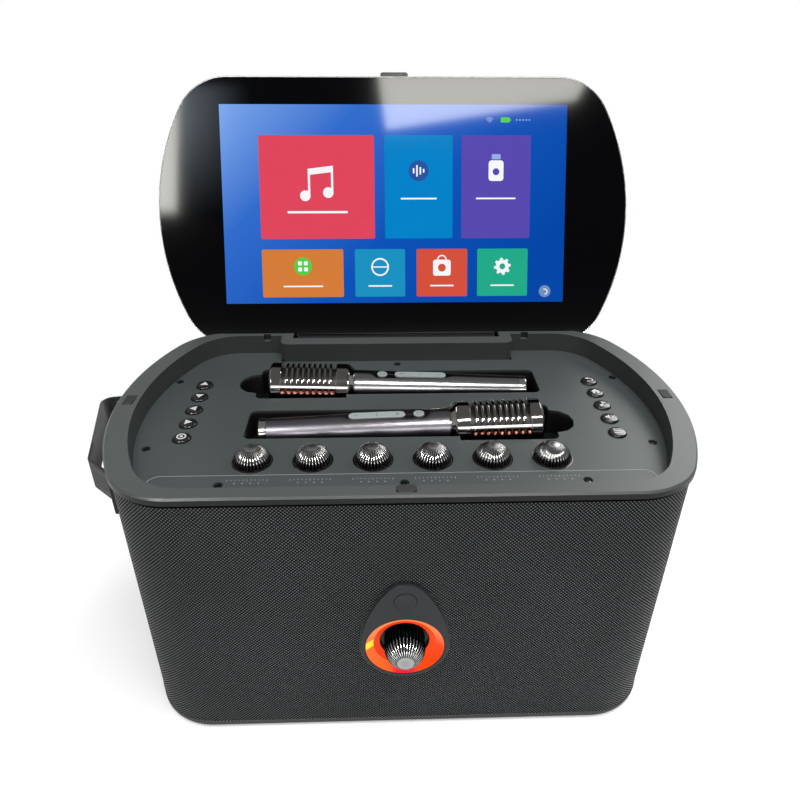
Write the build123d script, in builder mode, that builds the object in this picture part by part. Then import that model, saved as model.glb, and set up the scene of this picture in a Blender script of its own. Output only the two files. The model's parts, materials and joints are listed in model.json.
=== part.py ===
"""Karaoke machine: a round-cornered speaker cabinet with a control tray, a display lid and two microphones.

Millimetres. +Z is up, +X is right as seen from the front, the front faces -Y.
The origin is the centre of the resting face, on the surface that the machine stands on.
"""
import math
import os

from build123d import *

os.makedirs("parts", exist_ok=True)

# ---------------------------------------------------------------- driving dimensions: cabinet
width = 476.0  # across the bowed sides
depth = 268.0  # front to back
height = 252.0  # top of the rim
side_bow = 230.0  # plan radius of the bowed sides
corner_radius = 56.0  # plan radius of the four corners
fine_sides = 20  # small turned pieces are drawn as prisms with this many sides
large_sides = 36  # and the large ones with this many
hidden_sides = 12  # and the ones out of sight

foot_height = 3.0
foot_inset = 9.0
foot_band = 10.0
foot_corner = 60.0
base_height = 5.0  # visible trim under the grille
base_inset = 1.5
grille_inset = 2.0
grille_thickness = 1.4
shell_wall = 5.0
shell_drop = 52.0  # from the rim to the top of the shell
rim_band = 6.0  # height of the proud band round the rim
rim_groove = 3.0  # shadow gap between the band and the grille
rim_edge = 1.5

# ---------------------------------------------------------------- driving dimensions: tray
rim_front = 12.5  # width of the flat rim at the front, sides and back
rim_side = 18.0
rim_back = 10.0
tray_depth = 19.0
panel_thickness = 2.5
panel_gap = 0.2
ledge_thickness = 3.0
ledge_side = 33.0  # from the body's side and front to the opening under the panel
ledge_front = 21.0
ledge_corner = 48.0
hollow_side = 20.0  # from the body's side to the hollow of the cabinet
hollow_corner = 52.0
strip_depth = 51.0  # from the body's front to where the raised strip ends
strip_rise = 0.6

platform_width = 230.0  # raised block that carries the hinge
platform_depth = 30.0  # from the body's back to its front
platform_corner = 8.0

catch_x = 130.0  # catch pockets in the back wall of the tray
catch_width = 7.0
catch_depth = 4.0
catch_height = 6.0

pad_length = 14.0
pad_width = 8.0
pad_rise = 0.6
pad_seat = 1.2
pad_gap = 0.25
pad_corner = 2.0
pad_inset = 10.0  # of the side pads, from the widest part of the body

# ---------------------------------------------------------------- driving dimensions: lid
lid_margin = 2.5  # the closed lid stays this far inside the body outline
lid_angle = 113.0  # opening angle that the machine is shown at
hinge_inset = 7.0  # hinge axis in front of the body's back face
hinge_drop = 8.0  # hinge axis below the rim
glass_gap = 9.0  # from the hinge axis to the outer face of the glass
glass_thickness = 2.0
lid_thickness = 19.0
lid_wall = 3.0
lid_edge = 4.0
lid_hollow_side = 21.0  # from the body's side and front to the lid's hollow
lid_hollow_front = 5.5
lid_hollow_corner = 54.0
screen_width = 344.2
screen_height = 193.6
screen_lift = 38.4  # from the hinge axis to the lit area
screen_frame = 4.0
screen_thickness = 5.0
lid_board_size = (180.0, 90.0)
tab_width = 27.0
tab_reach = 4.5
tab_height = 9.0
barrel_radius = 6.5
barrel_length = 200.0
barrel_gap = 2.5
hinge_relief = 0.6  # between the glass and the rounded back edge of the rim
arm_width = 6.3
pin_radius = 2.5
pin_clearance = 0.06
pin_seat = 10.0
pin_reach = 14.0  # how far a pin enters the barrel
pin_end_gap = 1.0
hinge_side_gap = 3.5

# ---------------------------------------------------------------- driving dimensions: controls
knob_count = 6
knob_pitch = 47.0
knob_line = 69.5  # from the body's front to the row of knobs
knob_radius = 14.5
knob_height = 16.0
knob_cap_radius = 5.0
knob_gap = 0.4  # between the panel and the knob standing over it
knob_skirt = 0.3  # share of its height that is straight
knob_shoulder = 0.72  # share of its height up to the shoulder
knob_shoulder_radius = 0.84  # share of its radius there
shaft_hole_gap = 0.6

button_inset = 58.0  # from the body's side to a column of buttons
button_line = 77.5  # from the body's back to the first button
button_pitch = 22.0
button_count = 5  # on each side
button_radius = 7.4
button_sides = 16
button_gap = 0.35
button_rise = 2.4
button_edge = 2.5  # width of the sloped edge of its top
button_flange = 1.2
flange_gap = 0.3
button_key = 1.0  # how far the square flange reaches past the button
button_travel = 0.8
switch_size = 6.0
stem_radius = 2.5
press_gap = 0.1

board_drop = 8.4  # from the panel's underside to the top of the control boards
board_thickness = 1.6
board_margin = 13.0
board_post = 4.0
pot_size = 10.0
pot_height = 5.0
shaft_radius = 3.0
shaft_clearance = 0.08
shaft_engagement = 9.0
shaft_end_gap = 1.0

screw_side = 33.0  # from the body's side to the screws beside the buttons
screw_back = 69.0  # from the body's back to the first of them
screw_middle = 88.5  # from the body's front to the second
screw_front = 39.0  # and to the front row
screw_front_x = 138.0
screw_platform_gap = 7.0
screw_sides = 10
screw_recess = 1.5
screw_recess_radius = 3.8
boss_size = 7.0

# ---------------------------------------------------------------- driving dimensions: microphones
mic_length = 240.0
mic_head_length = 79.0
mic_head_radius = 20.5
mic_head_drop = 21.2  # from the rim down to the axis at the head and at the tail
mic_tail_drop = 27.4
mic_line = 74.0  # from the body's back to the first microphone
mic_pitch = 71.0
mic_neck_radius = 15.2
mic_tail_radius = 12.0
mic_collar = 12.0
mic_mesh_radius = 18.9
mic_edge = 2.5
mic_core_radius = 15.5
mic_core_gap = 0.4
mic_cap_length = 7.0
mic_cap_edge = 0.8
mic_flat = 12.6  # height of the button flat above the handle's axis
mic_flat_margin = 5.0
mic_power_s = -15.5
mic_power_radius = 4.6
mic_rocker_s = 20.0
mic_rocker_length = 48.0
mic_rocker_width = 9.0
mic_key_rise = 1.0
mic_key_depth = 3.0
mic_key_gap = 0.3
mic_key_travel = 0.6
mic_rest_gap = 0.3

pocket_head_half = 28.0
pocket_handle_half = 22.0
pocket_end_gap = 10.5
pocket_neck_x = -48.0
pocket_finger_radius = 18.0
pocket_corner = 6.0
pocket_wall = 2.0
cradle_x = 92.0
cradle_length = 6.0
cradle_below_axis = 3.0
cradle_gap = 1.0

# ---------------------------------------------------------------- driving dimensions: front and back
plate_z = 100.0  # centre of the volume knob
plate_radius = 35.0
plate_tip_z = 151.0
plate_tip_radius = 17.0
plate_flank_radius = 100.0  # of the bulging sides, tangent to both rounds
plate_thickness = 2.8
light_radius = 31.4
light_step_radius = 25.0
light_inner_radius = 20.0
light_step_depth = 4.5
light_throat_depth = 7.0
light_edge = 0.6
light_flange_radius = 36.0
light_flange_thickness = 3.0
front_gap = 0.3
volume_radius = 16.5
volume_protrusion = 16.0
volume_cap_radius = 6.0
volume_base_gap = 0.5
volume_bore_depth = 14.0
encoder_plate_radius = 34.0
encoder_plate_thickness = 2.0
encoder_size = 14.0
encoder_depth = 8.0
encoder_tongue = 26.0
power_radius = 8.7
power_rise = 0.6
power_travel = 1.0
power_depth = 11.0
power_gap = 0.4

woofer_x = 106.0
speaker_lift = 12.0  # from the base to the woofers
speaker_spacing = 4.0
woofer_radius = 52.0
woofer_reach = 48.0
woofer_magnet = 27.0
tweeter_x = 66.0
tweeter_radius = 20.0
tweeter_reach = 20.0
tweeter_magnet = 11.0
speaker_flange = 6.0
flange_thickness = 3.0
basket_share = 0.6  # share of a speaker's depth that is its basket

rear_width = 150.0
rear_height = 62.0
rear_z = 70.0
rear_flange = 5.0
rear_depth = 12.0
rear_wall = 2.0
rear_corner = 6.0
rear_cut = 3.0
rear_rise = 1.2
rear_gap = 0.3
socket_gap = 0.2
jack_xs = (-50.0, -26.0)
jack_radius = 3.25
jack_nose_radius = 5.2
jack_body_radius = 8.0
jack_body_depth = 26.0
jack_rise = 2.0
jack_bore_depth = 24.0
inlet_x = -2.0
inlet_radius = 2.9
inlet_pin_radius = 1.0
inlet_depth = 10.0
inlet_body_depth = 14.0
usb_x = 20.0
usb_width = 14.6
usb_height = 7.2
usb_wall = 0.9
usb_tongue_width = 11.0
usb_tongue_height = 2.0
usb_depth = 12.0
usb_body_depth = 16.0
switch_x = 48.0
switch_width = 20.0
switch_radius = 6.3
switch_gap = 0.3
switch_wall = 2.0
switch_notch = 3.2
switch_notch_half = 5.0
switch_tilt = 8.0

battery_size = (130.0, 70.0, 60.0)
battery_y = 45.0
main_board_size = (260.0, 80.0, 1.6)
main_board_lift = 10.0
main_board_y = -38.0
heat_sink_size = (70.0, 40.0, 22.0)
heat_sink_foot = 3.0
fin_count = 7
fin_thickness = 2.0
chip_size = 14.0
chip_pitch = (22.0, 26.0)
standoff_size = 8.0
post_inset = 8.0

strap_height = 27.0
strap_drop = 16.0  # from the rim to the strap's upper edge
strap_thickness = 3.0
# measured from the widest point of the left side
strap_points = ((24.0, -88.0), (-5.5, -62.0), (-27.0, 31.0), (12.0, 37.0))
strap_bend = 6.0
anchor_pad = 2.6
anchor_length = 24.0
anchor_margin = 4.0
anchor_ys = (-80.0, 37.0)

# ---------------------------------------------------------------- levels worked out from them
base_bottom = foot_height
base_top = base_bottom + base_height
band_bottom = height - rim_band
grille_top = band_bottom - rim_groove
skirt_inset = grille_inset + grille_thickness
shell_top = height - shell_drop
panel_top = height - tray_depth
panel_bottom = panel_top - panel_thickness
ledge_bottom = panel_bottom - ledge_thickness
board_top = panel_bottom - board_drop
strip_line = -depth / 2 + strip_depth
platform_front = depth / 2 - platform_depth
hinge_y = depth / 2 - hinge_inset
hinge_z = height - hinge_drop
notch_half = barrel_length / 2 + hinge_side_gap
notch_floor = hinge_z - barrel_radius - barrel_gap
notch_front = hinge_y - barrel_radius - barrel_gap
plate_back_y = -depth / 2 + grille_inset
plate_front_y = plate_back_y - plate_thickness
wall_inner_y = -depth / 2 + skirt_inset + shell_wall
light_back_y = wall_inner_y + light_flange_thickness
opening_width = rear_width - 2 * rear_flange
opening_height = rear_height - 2 * rear_flange
hollow = (width - 2 * hollow_side, depth - 2 * (skirt_inset + shell_wall), hollow_corner)
woofer_z = base_top + speaker_lift + woofer_radius
tweeter_z = woofer_z + woofer_radius + speaker_spacing + tweeter_radius
mic_head_z = height - mic_head_drop
mic_tail_z = height - mic_tail_drop
strap_top_z = height - strap_drop

# ---------------------------------------------------------------- where the controls stand
sides = (-1, 1)
knob_y = -depth / 2 + knob_line
knob_xs = [(i - (knob_count - 1) / 2) * knob_pitch for i in range(knob_count)]
button_x = width / 2 - button_inset
button_ys = [depth / 2 - button_line - i * button_pitch for i in range(button_count)]
mic_back_y = depth / 2 - mic_line
mic_front_y = mic_back_y - mic_pitch
screw_x = width / 2 - screw_side
screw_front_y = -depth / 2 + screw_front
screws = [(side * screw_x, depth / 2 - screw_back) for side in sides]
screws += [(side * screw_x, -depth / 2 + screw_middle) for side in sides]
screws += [(x, screw_front_y) for x in (-screw_front_x, 0, screw_front_x)]
screws.append((0, platform_front - screw_platform_gap))


# ---------------------------------------------------------------- shared outlines and planes
def rounded_plan(half_width, front, back, bow, corner):
    """A plan with straight front and back edges, bowed sides and round corners."""
    centre = half_width - bow
    front_x = centre + math.sqrt(bow**2 - front**2)
    back_x = centre + math.sqrt(bow**2 - back**2)
    with BuildSketch() as plan:
        with BuildLine():
            Line((-front_x, front), (front_x, front))
            ThreePointArc((front_x, front), (half_width, 0), (back_x, back))
            Line((back_x, back), (-back_x, back))
            ThreePointArc((-back_x, back), (-half_width, 0), (-front_x, front))
        make_face()
        fillet(plan.vertices(), corner)
    return plan.sketch


def body_plan(inset):
    """The cabinet's outline, drawn in by inset."""
    half = depth / 2 - inset
    return rounded_plan(width / 2 - inset, -half, half, side_bow - inset, corner_radius - inset)


def tray_plan(inset):
    """The tray's outline, drawn in by inset."""
    return rounded_plan(
        width / 2 - rim_side - inset,
        -depth / 2 + rim_front + inset,
        depth / 2 - rim_back - inset,
        side_bow - rim_side - inset,
        corner_radius - rim_front - inset,
    )


def lid_plan(inset):
    """The lid's outline, drawn in by inset."""
    return body_plan(lid_margin + inset)


def cut_corner_plan(across, along, corner):
    """A rectangle with its corners cut off."""
    with BuildSketch() as plan:
        Rectangle(across, along)
        chamfer(plan.vertices(), corner)
    return plan.sketch


def pill_plan(length, breadth):
    """A rectangle with round ends, drawn with a few sides."""
    with BuildSketch() as plan:
        with GridLocations(length - breadth, 0, 2, 1):
            RegularPolygon(breadth / 2, hidden_sides)
        make_hull()
    return plan.sketch


def prism_stack(plane, levels, sides):
    """Prisms and frustums with many sides, one on the other; levels are pairs of height and radius."""
    with BuildPart() as stack:
        for (low, start), (high, end) in zip(levels, levels[1:]):
            # each is drawn from its wider end
            downward = Plane((0, 0, high), x_dir=(1, 0, 0), z_dir=(0, 0, -1))
            foot = Plane.XY.offset(low) if start >= end else downward
            slope = math.degrees(math.atan2(abs(start - end) * math.cos(math.pi / sides), high - low))
            with BuildSketch(foot):
                RegularPolygon(max(start, end), sides)
            extrude(amount=high - low, taper=slope)
    return stack.part.moved(plane.location)


lean = math.radians(180 - lid_angle)  # the open lid's rise above the horizontal
lid_up = Vector(0, math.cos(lean), math.sin(lean))  # along the lid, away from the hinge
lid_face = Vector(0, -math.sin(lean), math.cos(lean))  # the way the glass faces
hinge_centre = Vector(0, hinge_y, hinge_z)
lid_plane = Plane(origin=hinge_centre, x_dir=(1, 0, 0), z_dir=lid_face)
front_plane = Plane(origin=(0, plate_back_y, 0), x_dir=(1, 0, 0), z_dir=(0, -1, 0))

written = []


def save(piece, name):
    """Label a finished piece and write it as one STEP file."""
    piece.label = name
    export_step(piece, f"parts/{name}.step")
    written.append(name)


# ---------------------------------------------------------------- cabinet
with BuildPart() as foot_ring:
    with BuildSketch():
        add(body_plan(foot_inset))
        inner = 2 * (foot_inset + foot_band)
        add(cut_corner_plan(width - inner - foot_band, depth - inner, foot_corner), mode=Mode.SUBTRACT)
    extrude(amount=foot_height)
save(foot_ring.part, "foot_ring")

board_posts = [
    (x * (main_board_size[0] / 2 - post_inset), main_board_y + y * (main_board_size[1] / 2 - post_inset))
    for x in (-1, 1)
    for y in (-1, 1)
]
with BuildPart() as base_tray:
    with BuildSketch(Plane.XY.offset(base_bottom)):
        add(body_plan(base_inset))
    extrude(amount=base_height)
    with BuildSketch(Plane.XY.offset(base_top)):
        with Locations(board_posts):
            Rectangle(standoff_size, standoff_size)
    extrude(amount=main_board_lift)
save(base_tray.part, "base_tray")

rear_plane = Plane(origin=(0, depth / 2, 0), x_dir=(-1, 0, 0), z_dir=(0, 1, 0))
with BuildPart() as grille_wrap:
    with BuildSketch(Plane.XY.offset(base_top)):
        add(body_plan(grille_inset))
        add(body_plan(skirt_inset), mode=Mode.SUBTRACT)
    extrude(amount=grille_top - base_top)
    with BuildSketch(front_plane):
        with Locations((0, plate_z)):
            RegularPolygon(light_radius + front_gap, large_sides)
        with Locations((0, plate_tip_z)):
            RegularPolygon(power_radius + power_gap, fine_sides)
    extrude(amount=-2 * grille_thickness, mode=Mode.SUBTRACT)
    with BuildSketch(rear_plane):
        with Locations((0, rear_z)):
            add(cut_corner_plan(opening_width, opening_height, rear_cut))
    extrude(amount=-2 * skirt_inset, mode=Mode.SUBTRACT)
    with BuildSketch(Plane.XY.offset(notch_floor)):
        with Locations((0, notch_front)):
            Rectangle(2 * notch_half, depth, align=(Align.CENTER, Align.MIN))
    extrude(amount=height - notch_floor, mode=Mode.SUBTRACT)
save(grille_wrap.part, "grille_wrap")

with BuildPart() as cabinet_shell:
    with BuildSketch(Plane.XY.offset(base_top)):
        add(body_plan(skirt_inset))
    extrude(amount=shell_top - base_top)
    with BuildSketch(Plane.XY.offset(base_top)):
        add(cut_corner_plan(*hollow))
    extrude(amount=shell_top - shell_wall - base_top, mode=Mode.SUBTRACT)
    with BuildSketch(front_plane):
        with Locations((0, plate_z)):
            RegularPolygon(light_radius + front_gap, large_sides)
        with Locations((0, plate_tip_z)):
            RegularPolygon(power_radius + power_gap, fine_sides)
        with Locations((-woofer_x, woofer_z), (woofer_x, woofer_z)):
            RegularPolygon(woofer_radius - speaker_flange, hidden_sides)
        with Locations((-tweeter_x, tweeter_z), (tweeter_x, tweeter_z)):
            RegularPolygon(tweeter_radius - speaker_flange, hidden_sides)
    extrude(amount=-2 * shell_wall, mode=Mode.SUBTRACT)
    with BuildSketch(rear_plane):
        with Locations((0, rear_z)):
            add(cut_corner_plan(opening_width, opening_height, rear_cut))
    extrude(amount=-2 * skirt_inset - shell_wall, mode=Mode.SUBTRACT)
save(cabinet_shell.part, "cabinet_shell")

platform_back = depth / 2 - skirt_inset
pads = [((side * (width / 2 - pad_inset), 0), (pad_width, pad_length)) for side in sides]
pads.append(((0, -depth / 2 + rim_front - pad_width / 2), (pad_length, pad_width)))
with BuildPart() as top_frame:
    with BuildSketch(Plane.XY.offset(shell_top)):
        add(body_plan(skirt_inset))
    extrude(amount=band_bottom - shell_top)
    with BuildSketch(Plane.XY.offset(band_bottom)):
        add(body_plan(0))
    extrude(amount=rim_band)
    chamfer(top_frame.faces().sort_by(Axis.Z)[-1].edges(), rim_edge)
    # the open tray
    with BuildSketch(Plane.XY.offset(panel_bottom)):
        add(tray_plan(0))
    extrude(amount=height - panel_bottom, mode=Mode.SUBTRACT)
    # under the floor: a ledge for the panel, and a hollow below it
    with BuildSketch(Plane.XY.offset(ledge_bottom)):
        add(cut_corner_plan(width - 2 * ledge_side, depth - 2 * ledge_front, ledge_corner))
        with Locations(*screws):
            Rectangle(boss_size + 2 * panel_gap, boss_size + 2 * panel_gap)
    extrude(amount=ledge_thickness, mode=Mode.SUBTRACT)
    with BuildSketch(Plane.XY.offset(shell_top)):
        add(cut_corner_plan(*hollow))
    extrude(amount=ledge_bottom - shell_top, mode=Mode.SUBTRACT)
    # the hinge platform
    with BuildSketch(Plane.XY.offset(ledge_bottom)) as platform:
        with Locations((0, platform_front)):
            Rectangle(platform_width, platform_back - platform_front, align=(Align.CENTER, Align.MIN))
        fillet(platform.vertices().sort_by(Axis.Y)[:2], platform_corner)
    extrude(amount=height - ledge_bottom)
    # the notch that the lid's barrel turns in, open at the back
    with BuildSketch(Plane.XY.offset(notch_floor)):
        with Locations((0, notch_front)):
            Rectangle(2 * notch_half, depth - notch_front, align=(Align.CENTER, Align.MIN))
    extrude(amount=height, mode=Mode.SUBTRACT)
    # the rim's back edge is rounded about the hinge axis, so that the lid clears it
    with BuildSketch(Plane(origin=(-width / 2, hinge_y, hinge_z), x_dir=(0, 1, 0), z_dir=(1, 0, 0))):
        Rectangle(depth, depth, align=(Align.MIN, Align.MIN))
        Circle(glass_gap - hinge_relief, mode=Mode.SUBTRACT)
    extrude(amount=width, mode=Mode.SUBTRACT)
    for side in sides:
        cheek = Plane(origin=(side * notch_half, hinge_y, hinge_z), z_dir=(side, 0, 0))
        with BuildSketch(cheek):
            Circle(pin_radius)
        extrude(amount=pin_seat, mode=Mode.SUBTRACT)
    # catch pockets in the back wall
    with BuildSketch(Plane.XY.offset(height - catch_height)):
        with Locations(*[(side * catch_x, depth / 2 - rim_back) for side in sides]):
            Rectangle(catch_width, 2 * catch_depth)
    extrude(amount=catch_height, mode=Mode.SUBTRACT)
    # seats of the rubber pads
    with BuildSketch(Plane.XY.offset(height - pad_seat)):
        for (x, y), (across, along) in pads:
            with Locations((x, y)):
                Rectangle(across + 2 * pad_gap, along + 2 * pad_gap)
    extrude(amount=pad_seat, mode=Mode.SUBTRACT)
save(top_frame.part, "top_frame")

mic_tilt = math.atan2(mic_head_z - mic_tail_z, mic_length - mic_head_length / 2)
mic_head_s = -mic_length / 2 + mic_head_length / 2
mic_axis_z = mic_head_z + mic_head_s * math.tan(mic_tilt)


def mic_planes(y, turn):
    """The plane across a microphone at its middle, facing its tail, and the one along it, facing up."""
    along = Vector(turn * math.cos(mic_tilt), 0, -math.sin(mic_tilt))
    up = Vector(turn * math.sin(mic_tilt), 0, math.cos(mic_tilt))
    middle = Vector(0, y, mic_axis_z)
    return Plane(origin=middle, x_dir=up, z_dir=along), Plane(origin=middle, x_dir=along, z_dir=up)


mic_places = {"back": (mic_back_y, 1), "front": (mic_front_y, -1)}
pocket_floor = mic_head_z - mic_head_radius / math.cos(mic_tilt) - mic_rest_gap
pocket_floor -= (mic_head_length / 2) * math.tan(mic_tilt)
pocket_end = mic_length / 2 + pocket_end_gap


def pocket_outline(grow):
    """A microphone's pocket, its head at -X, enlarged by grow."""
    with BuildSketch() as plan:
        with Locations((-pocket_end - grow, 0)):
            Rectangle(
                pocket_end + pocket_neck_x + 2 * grow,
                2 * (pocket_head_half + grow),
                align=(Align.MIN, Align.CENTER),
            )
        with Locations((pocket_neck_x, 0)):
            Rectangle(
                pocket_end - pocket_neck_x + grow,
                2 * (pocket_handle_half + grow),
                align=(Align.MIN, Align.CENTER),
            )
    return plan.sketch


def pocket_plan(grow, corner):
    """The pocket with rounded corners, its hollow for a finger at the head's end."""
    with BuildSketch() as plan:
        add(pocket_outline(grow))
        if corner:
            by_x = plan.vertices().sort_by(Axis.X)
            fillet(by_x[:2] + by_x[-2:], corner)
        with Locations((-pocket_end, 0)):
            RegularPolygon(pocket_finger_radius + grow, hidden_sides)
    return plan.sketch


pocket_turns = [(place[0], 0 if place[1] > 0 else 180) for place in mic_places.values()]
with BuildPart() as control_panel:
    with BuildSketch(Plane.XY.offset(panel_bottom)):
        add(tray_plan(panel_gap))
        with Locations((0, platform_front - panel_gap)):
            Rectangle(
                platform_width + 2 * panel_gap,
                depth,
                align=(Align.CENTER, Align.MIN),
                mode=Mode.SUBTRACT,
            )
    extrude(amount=panel_thickness)
    # the raised strip along the front
    with BuildSketch(Plane.XY.offset(panel_top)):
        add(tray_plan(panel_gap))
        with Locations((0, strip_line)):
            Rectangle(width, depth, align=(Align.CENTER, Align.MIN), mode=Mode.SUBTRACT)
    extrude(amount=strip_rise)
    # pockets for the two microphones, with walls of their own
    with BuildSketch(Plane.XY.offset(pocket_floor - pocket_wall)):
        for y, turn in pocket_turns:
            add(pocket_plan(pocket_wall, 0).rotate(Axis.Z, turn).translate((0, y, 0)))
    extrude(amount=panel_bottom - pocket_floor + pocket_wall)
    with BuildSketch(Plane.XY.offset(pocket_floor)):
        for y, turn in pocket_turns:
            add(pocket_plan(0, pocket_corner).rotate(Axis.Z, turn).translate((0, y, 0)))
    extrude(amount=height - pocket_floor, mode=Mode.SUBTRACT)
    # bosses down to the cabinet, and the recesses of their screws
    with BuildSketch(Plane.XY.offset(shell_top)):
        with Locations(*screws):
            Rectangle(boss_size, boss_size)
    extrude(amount=panel_bottom - shell_top)
    with BuildSketch(Plane.XY.offset(panel_top - screw_recess)):
        with Locations(*screws):
            RegularPolygon(screw_recess_radius, screw_sides)
    extrude(amount=height - panel_top, mode=Mode.SUBTRACT)
    # holes for the knobs' shafts and for the buttons
    with BuildSketch(Plane.XY.offset(panel_bottom)):
        with Locations(*[(x, knob_y) for x in knob_xs]):
            RegularPolygon(shaft_radius + shaft_hole_gap, screw_sides)
        with Locations(*[(side * button_x, y) for side in sides for y in button_ys]):
            RegularPolygon(button_radius + button_gap, button_sides, major_radius=False)
    extrude(amount=height - panel_bottom, mode=Mode.SUBTRACT)
    # a notched cradle across each pocket for the handle
    notch_width = 2 * (mic_neck_radius + cradle_gap)
    for y, turn in mic_places.values():
        for edge in sides:
            with BuildSketch(Plane.XY.offset(pocket_floor)):
                with Locations((turn * cradle_x, y + edge * (notch_width / 2 + pocket_handle_half) / 2)):
                    Rectangle(cradle_length, pocket_handle_half - notch_width / 2)
            extrude(amount=mic_axis_z - cradle_below_axis - pocket_floor)
save(control_panel.part, "control_panel")

with BuildPart() as rim_pads:
    for (x, y), (across, along) in pads:
        with BuildSketch(Plane.XY.offset(height - pad_seat)):
            with Locations((x, y)):
                add(cut_corner_plan(across, along, pad_corner))
        extrude(amount=pad_seat + pad_rise)
save(rim_pads.part, "rim_pads")

# ---------------------------------------------------------------- control boards under the panel
button_middle_y = (button_ys[0] + button_ys[-1]) / 2
button_span = button_ys[0] - button_ys[-1]
knob_span = knob_xs[-1] - knob_xs[0]
board_bottom = board_top - board_thickness
button_foot = panel_bottom - button_flange
button_reach = button_span / 2 + board_margin
knob_reach = knob_span / 2 + board_margin
boards = [(side * button_x, button_middle_y, board_margin, button_reach) for side in sides]
boards.append((0, knob_y, knob_reach, board_margin))
with BuildPart() as control_board:
    for x, y, half_across, half_along in boards:
        with BuildSketch(Plane.XY.offset(board_bottom)):
            with Locations((x, y)):
                Rectangle(2 * half_across, 2 * half_along)
        extrude(amount=board_thickness)
        # a rib at each end hangs it from the panel
        with BuildSketch(Plane.XY.offset(board_top)):
            with Locations((x, y)):
                if half_across > half_along:
                    with GridLocations(2 * half_across - board_post, 0, 2, 1):
                        Rectangle(board_post, 2 * half_along)
                else:
                    with GridLocations(0, 2 * half_along - board_post, 1, 2):
                        Rectangle(2 * half_across, board_post)
        extrude(amount=panel_bottom - board_top)
    with BuildSketch(Plane.XY.offset(board_top)):
        with Locations(*[(side * button_x, y) for side in sides for y in button_ys]):
            Rectangle(switch_size, switch_size)
    extrude(amount=button_foot - button_travel - press_gap - board_top)
    with BuildSketch(Plane.XY.offset(board_top)):
        with Locations(*[(x, knob_y) for x in knob_xs]):
            Rectangle(pot_size, pot_size)
    extrude(amount=pot_height)
    with BuildSketch(Plane.XY.offset(board_top)):
        with Locations(*[(x, knob_y) for x in knob_xs]):
            Circle(shaft_radius)
    extrude(amount=panel_top + knob_gap + shaft_engagement - board_top)
save(control_board.part, "control_board")


# ---------------------------------------------------------------- knobs and buttons of the tray
def dome_knob(plane, radius, rise, cap_radius, foot, bore_depth):
    """A domed knob over plane, its foot at height foot, with a blind hole for the shaft."""
    shoulder_level = (rise * knob_shoulder, radius * knob_shoulder_radius)
    levels = ((foot, radius), (rise * knob_skirt, radius), shoulder_level, (rise, cap_radius))
    with BuildPart() as knob:
        add(prism_stack(plane, levels, fine_sides))
        with BuildSketch(plane.offset(foot)):
            RegularPolygon(shaft_radius + shaft_clearance, button_sides, major_radius=False)
        extrude(amount=bore_depth, mode=Mode.SUBTRACT)
    return knob.part


knob_bore = shaft_engagement + shaft_end_gap
for index, x in enumerate(knob_xs, start=1):
    knob_place = Plane(origin=(x, knob_y, panel_top))
    knob = dome_knob(knob_place, knob_radius, knob_height, knob_cap_radius, knob_gap, knob_bore)
    save(knob, f"knob_{index}")

button_names = {
    -1: ("button_up", "button_down", "button_left", "button_right", "button_select"),
    1: ("button_back", "button_home", "button_music", "button_mute", "button_mode"),
}
flange_top = panel_bottom - flange_gap
button_levels = (
    (flange_top, button_radius),
    (panel_top + button_rise / 2, button_radius),
    (panel_top + button_rise, button_radius - button_edge),
)
for side, names in button_names.items():
    for name, y in zip(names, button_ys):
        middle = (side * button_x, y)
        with BuildPart() as button:
            add(prism_stack(Plane(origin=(*middle, 0)), button_levels, button_sides))
            with BuildSketch(Plane.XY.offset(button_foot)):
                with Locations(middle):
                    Rectangle(2 * (button_radius + button_key), 2 * (button_radius + button_key))
            extrude(amount=flange_top - button_foot)
        save(button.part, name)

# ---------------------------------------------------------------- lid, drawn in its open place
with BuildPart() as lid_shell:
    with BuildSketch(lid_plane.offset(-glass_gap - glass_thickness)):
        with Locations((0, hinge_y)):
            add(lid_plan(0))
    extrude(amount=glass_thickness - lid_thickness)
    chamfer(lid_shell.faces().sort_by(Axis(hinge_centre, lid_face))[0].edges(), lid_edge)
    with BuildSketch(lid_plane.offset(-glass_gap - glass_thickness)):
        with Locations((0, hinge_y)):
            add(cut_corner_plan(width - 2 * lid_hollow_side, depth - 2 * lid_hollow_front, lid_hollow_corner))
    extrude(amount=glass_thickness - lid_thickness + lid_wall, mode=Mode.SUBTRACT)
    with BuildSketch(lid_plane.offset(-glass_gap - glass_thickness)) as tab:
        with Locations((0, hinge_y + depth / 2 - lid_margin - lid_wall / 2)):
            Rectangle(tab_width, lid_wall / 2 + tab_reach, align=(Align.CENTER, Align.MIN))
        fillet(tab.vertices().sort_by(Axis.Y)[-2:], tab_reach / 2)
    extrude(amount=-tab_height)
save(lid_shell.part, "lid_shell")

arm_clear = barrel_length / 2 + pad_gap
arm_top = arm_width + pad_gap
with BuildPart() as glass_panel:
    with BuildSketch(lid_plane.offset(-glass_gap - glass_thickness)):
        with Locations((0, hinge_y)):
            add(lid_plan(0))
        with Locations((0, -depth)):
            Rectangle(2 * arm_clear, depth + arm_top, align=(Align.CENTER, Align.MIN), mode=Mode.SUBTRACT)
    extrude(amount=glass_thickness)
save(glass_panel.part, "glass_panel")

with BuildPart() as display_panel:
    with BuildSketch(lid_plane.offset(-glass_gap - glass_thickness)):
        with Locations((0, screen_lift + screen_height / 2)):
            Rectangle(screen_width + 2 * screen_frame, screen_height + 2 * screen_frame)
    extrude(amount=-screen_thickness)
save(display_panel.part, "display_panel")

board_width, board_length = lid_board_size
with BuildPart() as lid_board:
    with BuildSketch(lid_plane.offset(-glass_gap - lid_thickness + lid_wall)):
        with Locations((0, screen_lift + screen_height / 2)):
            Rectangle(board_width, board_length)
    extrude(amount=lid_thickness - lid_wall - glass_thickness - screen_thickness)
save(lid_board.part, "lid_board")

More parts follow.
